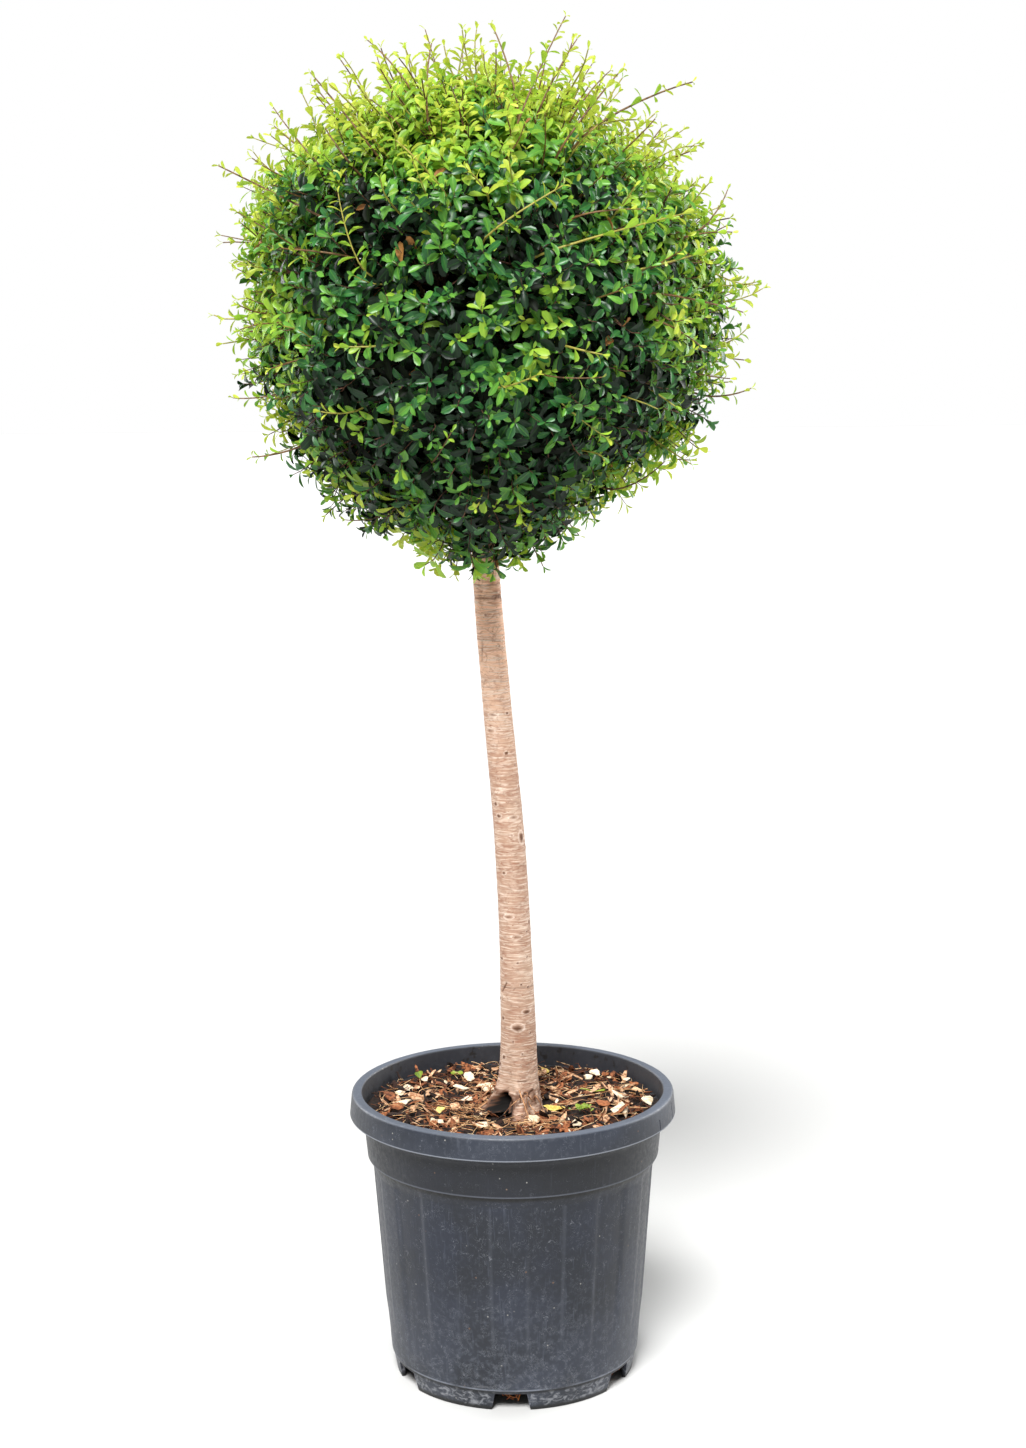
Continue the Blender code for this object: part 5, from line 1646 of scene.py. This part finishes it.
# Under the head the sprays are made darker, as painted shade, but for a few that have just come
# out.
under = ease(-up, 0.35, 0.85)
freshness_and_painted_light += np.where(rng.random(len(sprays_at)) < 0.12, 0.46, -0.14) * under
freshness_and_painted_light[long_spray] += 0.42
# The inner sprays are pushed to the darkest greens, as painted shade inside the head.
freshness_and_painted_light[inner_spray] -= 0.60
sprouting = rng.uniform(0.60, 0.84, len(face_to)) + 0.36 * ease(face_to[:, 2], 0.0, 0.6)
freshness_and_painted_light[face_spray] = np.where(face_is_red, sprouting, sprouting + 0.06)
# Pairs further from the tip are older and darker, partly as painted shade.
PAIR_STEP = np.array([0.18, 0.08, -0.02, -0.14, -0.26, -0.28] + [-0.30] * 5)
leaf_fresh_and_painted_light = freshness_and_painted_light[leaf_spray] + PAIR_STEP[leaf_pair]
leaf_fresh_and_painted_light += rng.normal(0.0, 0.03, len(leaf_fresh_and_painted_light))
youngest, oldest = round(float(leaf_fresh_and_painted_light.max()), 2), round(float(leaf_fresh_and_painted_light.min()), 2)
print("freshness runs from", oldest, "to", youngest)


# %% Leaf surfaces
def leaf_material(name, dark, light, through, gloss, let_through, wax=0.5):
    """A leathery leaf: waxy and glossy above, letting some yellower light through its blade."""
    material, tree, shader = blank_material(name, gloss, 1.48)
    shader.inputs["Specular IOR Level"].default_value = wax
    own = add_node(tree, "NewGeometry", out="Random Per Island")
    place = add_node(tree, "TexCoord", out="Object")
    # Blotches about 6 mm across keep a blade from being one flat tone.
    blotch = add_node(tree, "TexNoise", {"Vector": place, "Scale": 160.0, "Detail": 2.0})
    share = add_node(tree, "Math", {0: own, 1: blotch}, operation="ADD")
    share = add_node(tree, "MapRange", {0: share, 1: 0.45, 2: 1.45})
    # The midrib is a pale thread down the middle of the blade, and the thin margin is painted paler
    # as a highlight.
    blade = add_node(tree, "UVMap", uv_map="blade")
    across = add_node(tree, "SeparateXYZ", {"Vector": blade}, "X")
    from_rib = add_node(tree, "Math", {0: across, 1: 0.5}, operation="SUBTRACT")
    from_rib = add_node(tree, "Math", {0: from_rib}, operation="ABSOLUTE")
    rib = add_node(tree, "MapRange", {0: from_rib, 1: 0.02, 2: 0.07, 3: 0.35, 4: 0.0})
    margin_highlight = add_node(tree, "MapRange", {0: from_rib, 1: 0.40, 2: 0.50, 3: 0.0, 4: 0.45})
    tone = paint(tree, from_hex(dark), [(light, share), (through, rib), (light, margin_highlight)])
    tree.links.new(tone, shader.inputs["Base Color"])
    glow = add_node(tree, "BsdfTranslucent", {"Color": from_hex(through)})
    both = add_node(tree, "MixShader", {0: let_through, 1: shader.outputs[0], 2: glow})
    tree.links.new(both, tree.nodes["Material Output"].inputs["Surface"])
    return material


# %% Shape every leaf
DEAD_SHARE = 0.0016
rng = np.random.default_rng(26)
count = len(leaf_foot)
# Leaves low on the head grew slowly in its shade, and are a little larger.
larger = 1.0 + 0.12 * ease(-up[leaf_spray], 0.35, 0.90)
length = LEAF_LENGTH * leaf_size * larger
width = LEAF_WIDTH * leaf_size * larger * rng.uniform(0.86, 1.14, count)
fold, droop = rng.uniform(0.25, 0.85, count), rng.uniform(0.08, 0.52, count)
sheets = leaf_sheets(leaf_foot, leaf_along, leaf_normal, length, width, fold, droop)
dead = rng.random(count) < DEAD_SHARE
# Across the blade the coordinate is 0 and 1 at its margins, and one half on its midrib.
leaf_uv = np.stack([np.sign(leaf_s) * 0.5 + 0.5, leaf_t], axis=1)
print("leaves are", round(1000 * float(length.mean()), 1), "mm long on average")


def leaf_piece(name, sheets, material):
    """One mesh of these leaves, with each blade's own coordinates for its midrib."""
    faces = leaf_triangles[None] + (np.arange(len(sheets)) * len(leaf_t))[:, None, None]
    piece = mesh_piece(name, sheets.reshape(-1, 3), faces.reshape(-1, 3), material)
    layer = piece.data.uv_layers.new(name="blade")
    uv = np.tile(leaf_uv[leaf_triangles.ravel()], (len(sheets), 1))
    layer.data.foreach_set("uv", uv.astype(np.float32).ravel())
    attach(piece, "root")
    return piece


# %% Build the leaf pieces, one for each green
# Name, freshness and painted light up to which it goes, darker and lighter tone, tone of the light
# through the blade, roughness, share of light let through, and how far its wax mirrors, which is
# least on the dusty inner leaves.
GREENS = (
    ("leaves_shaded", -0.16, ("040702", "0b1406"), "1c300c", 0.56, 0.03, 0.12),
    ("leaves_deep", 0.14, ("061108", "16301a"), "2c5620", 0.38, 0.05, 0.30),
    ("leaves_mid", 0.34, ("163a1e", "327036"), "6cac3a", 0.35, 0.12, 0.44),
    ("leaves_bright", 0.58, ("366c2a", "64a23c"), "9ccc40", 0.37, 0.20, 0.45),
    ("leaves_young", 0.86, ("6c9b2e", "9fc540"), "bede46", 0.40, 0.30, 0.45),
    ("leaves_lime", 9.00, ("94b236", "c8d44e"), "dae65a", 0.42, 0.34, 0.45),
)
lowest = -9.0
for name, highest, (dark, light), *finish in GREENS:
    chosen = (leaf_fresh_and_painted_light >= lowest) & (leaf_fresh_and_painted_light < highest) & ~dead
    lowest = highest
    material = leaf_material(name + "_blade", dark, light, *finish)
    leaf_piece(name, sheets[chosen], material)
    print(name, int(chosen.sum()))
dry = leaf_material("leaves_dead_blade", "7a4a26", "b07a3c", "b9823f", 0.7, 0.1)
leaf_piece("leaves_dead", sheets[dead], dry)
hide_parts(*foliage_nodes)

# %% [markdown]
# ## Twigs
#
# Twigs are drawn last, since they only have to carry the leaves. Old wood is red-brown, and the
# wood of this year's long shoots is red-brown on some and yellow green on the others.

# %% Old wood and new shoots
def wood_piece(name, groups, material, rng):
    """One mesh of tapering tubes, from groups of (paths, thickest, thinnest, sides)."""
    all_points, all_quads, offset = [], [], 0
    for paths, thickest, thinnest, sides in groups:
        radii = tapering(*paths.shape[:2], thickest, thinnest, rng)
        points, quads = tubes(paths, radii, sides)
        all_points.append(points)
        all_quads.append(quads + offset)
        offset += len(points)
    piece = mesh_piece(name, np.concatenate(all_points), np.concatenate(all_quads), material)
    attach(piece, "root")


rng = np.random.default_rng(27)
old_bark = crumbly_material("red_brown_twig_bark", "3c241a", "75503c", 3.0, 0.75)
old_wood = (
    (limbs["paths"], 0.0024, 0.0013, 7),
    (branches["paths"], 0.0014, 0.0008, 5),
    (shoots["paths"], 0.0008, 0.0004, 3),
)
wood_piece("branches_and_twigs", old_wood, old_bark, rng)
RED_SHARE = 0.34
is_red = rng.random(len(long_to)) < RED_SHARE
for colour, long_ones, across_ones, tones in (
    ("red", is_red, face_is_red, ("4c3418", "826038")),
    ("yellow", ~is_red, ~face_is_red, ("7e7c30", "aa9e48")),
):
    new_bark = crumbly_material("new_" + colour + "_stem", *tones, 3.0, 0.5)
    kinds = long_shoots["paths"][long_ones], face_paths[across_ones]
    groups = [(paths, 0.0010, 0.0005, 5) for paths in kinds]
    wood_piece("shoots_" + colour + "_stemmed", groups, new_bark, rng)
print("twigs drawn")

# %% Seedlings on the mulch
# Places in mm: a sprout with four leaves, a bud, a pair of narrow leaves, and a tuft of moss.
SPROUT, BUD, NARROW, MOSS = (-53, 87), (-88, 69), (76, 29), (64, -25)
MOSS_LEAVES = 70
rng = np.random.default_rng(28)


def small_leaves(place, headings_deg, rise, length, width):
    """Rows for leaf_sheets: leaves that leave one place on the bed in these headings."""
    turns = np.radians(headings_deg)
    x, y = place[0] / 1000.0, place[1] / 1000.0
    foot = np.tile([x, y, mix_height(x, y) + 0.006], (len(turns), 1))
    along = unit(headings(turns, rise))
    normal = np.tile([0.0, -0.5, 0.85], (len(turns), 1))
    return foot, along, normal, np.full(len(turns), length), np.full(len(turns), width)


weeds = [
    small_leaves(SPROUT, [20.0, 165.0, -80.0, 95.0], 0.5, 0.0068, 0.0048),
    small_leaves(BUD, [85.0, 130.0], 0.9, 0.0085, 0.0045),
    small_leaves(NARROW, [10.0, 150.0], 0.15, 0.014, 0.0024),
    small_leaves(MOSS, rng.uniform(0.0, 360.0, MOSS_LEAVES), 0.9, 0.0045, 0.0018),
]
foot, along, normal, length, width = (np.concatenate([weed[k] for weed in weeds]) for k in range(5))
foot[-MOSS_LEAVES:, :2] += rng.normal(0.0, 0.0032, (MOSS_LEAVES, 2))
length = length * rng.uniform(0.8, 1.2, len(length))
still = np.full(len(foot), 1.0)
weed_sheets = leaf_sheets(foot, along, normal, length, width, 0.3 * still, 0.15 * still)
weed_blade = leaf_material("seedling_blade", "5a7420", "9aae3e", "a4bc40", 0.45, 0.15)
leaf_piece("seedlings", weed_sheets, weed_blade)
print(len(weed_sheets), "leaves of seedlings and moss")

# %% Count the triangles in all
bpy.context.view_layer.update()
triangles = sum(
    sum(len(face.vertices) - 2 for face in piece.data.polygons)
    for piece in bpy.context.scene.objects
    if piece.type == "MESH" and not piece.hide_render
)
print(triangles, "triangles in all")
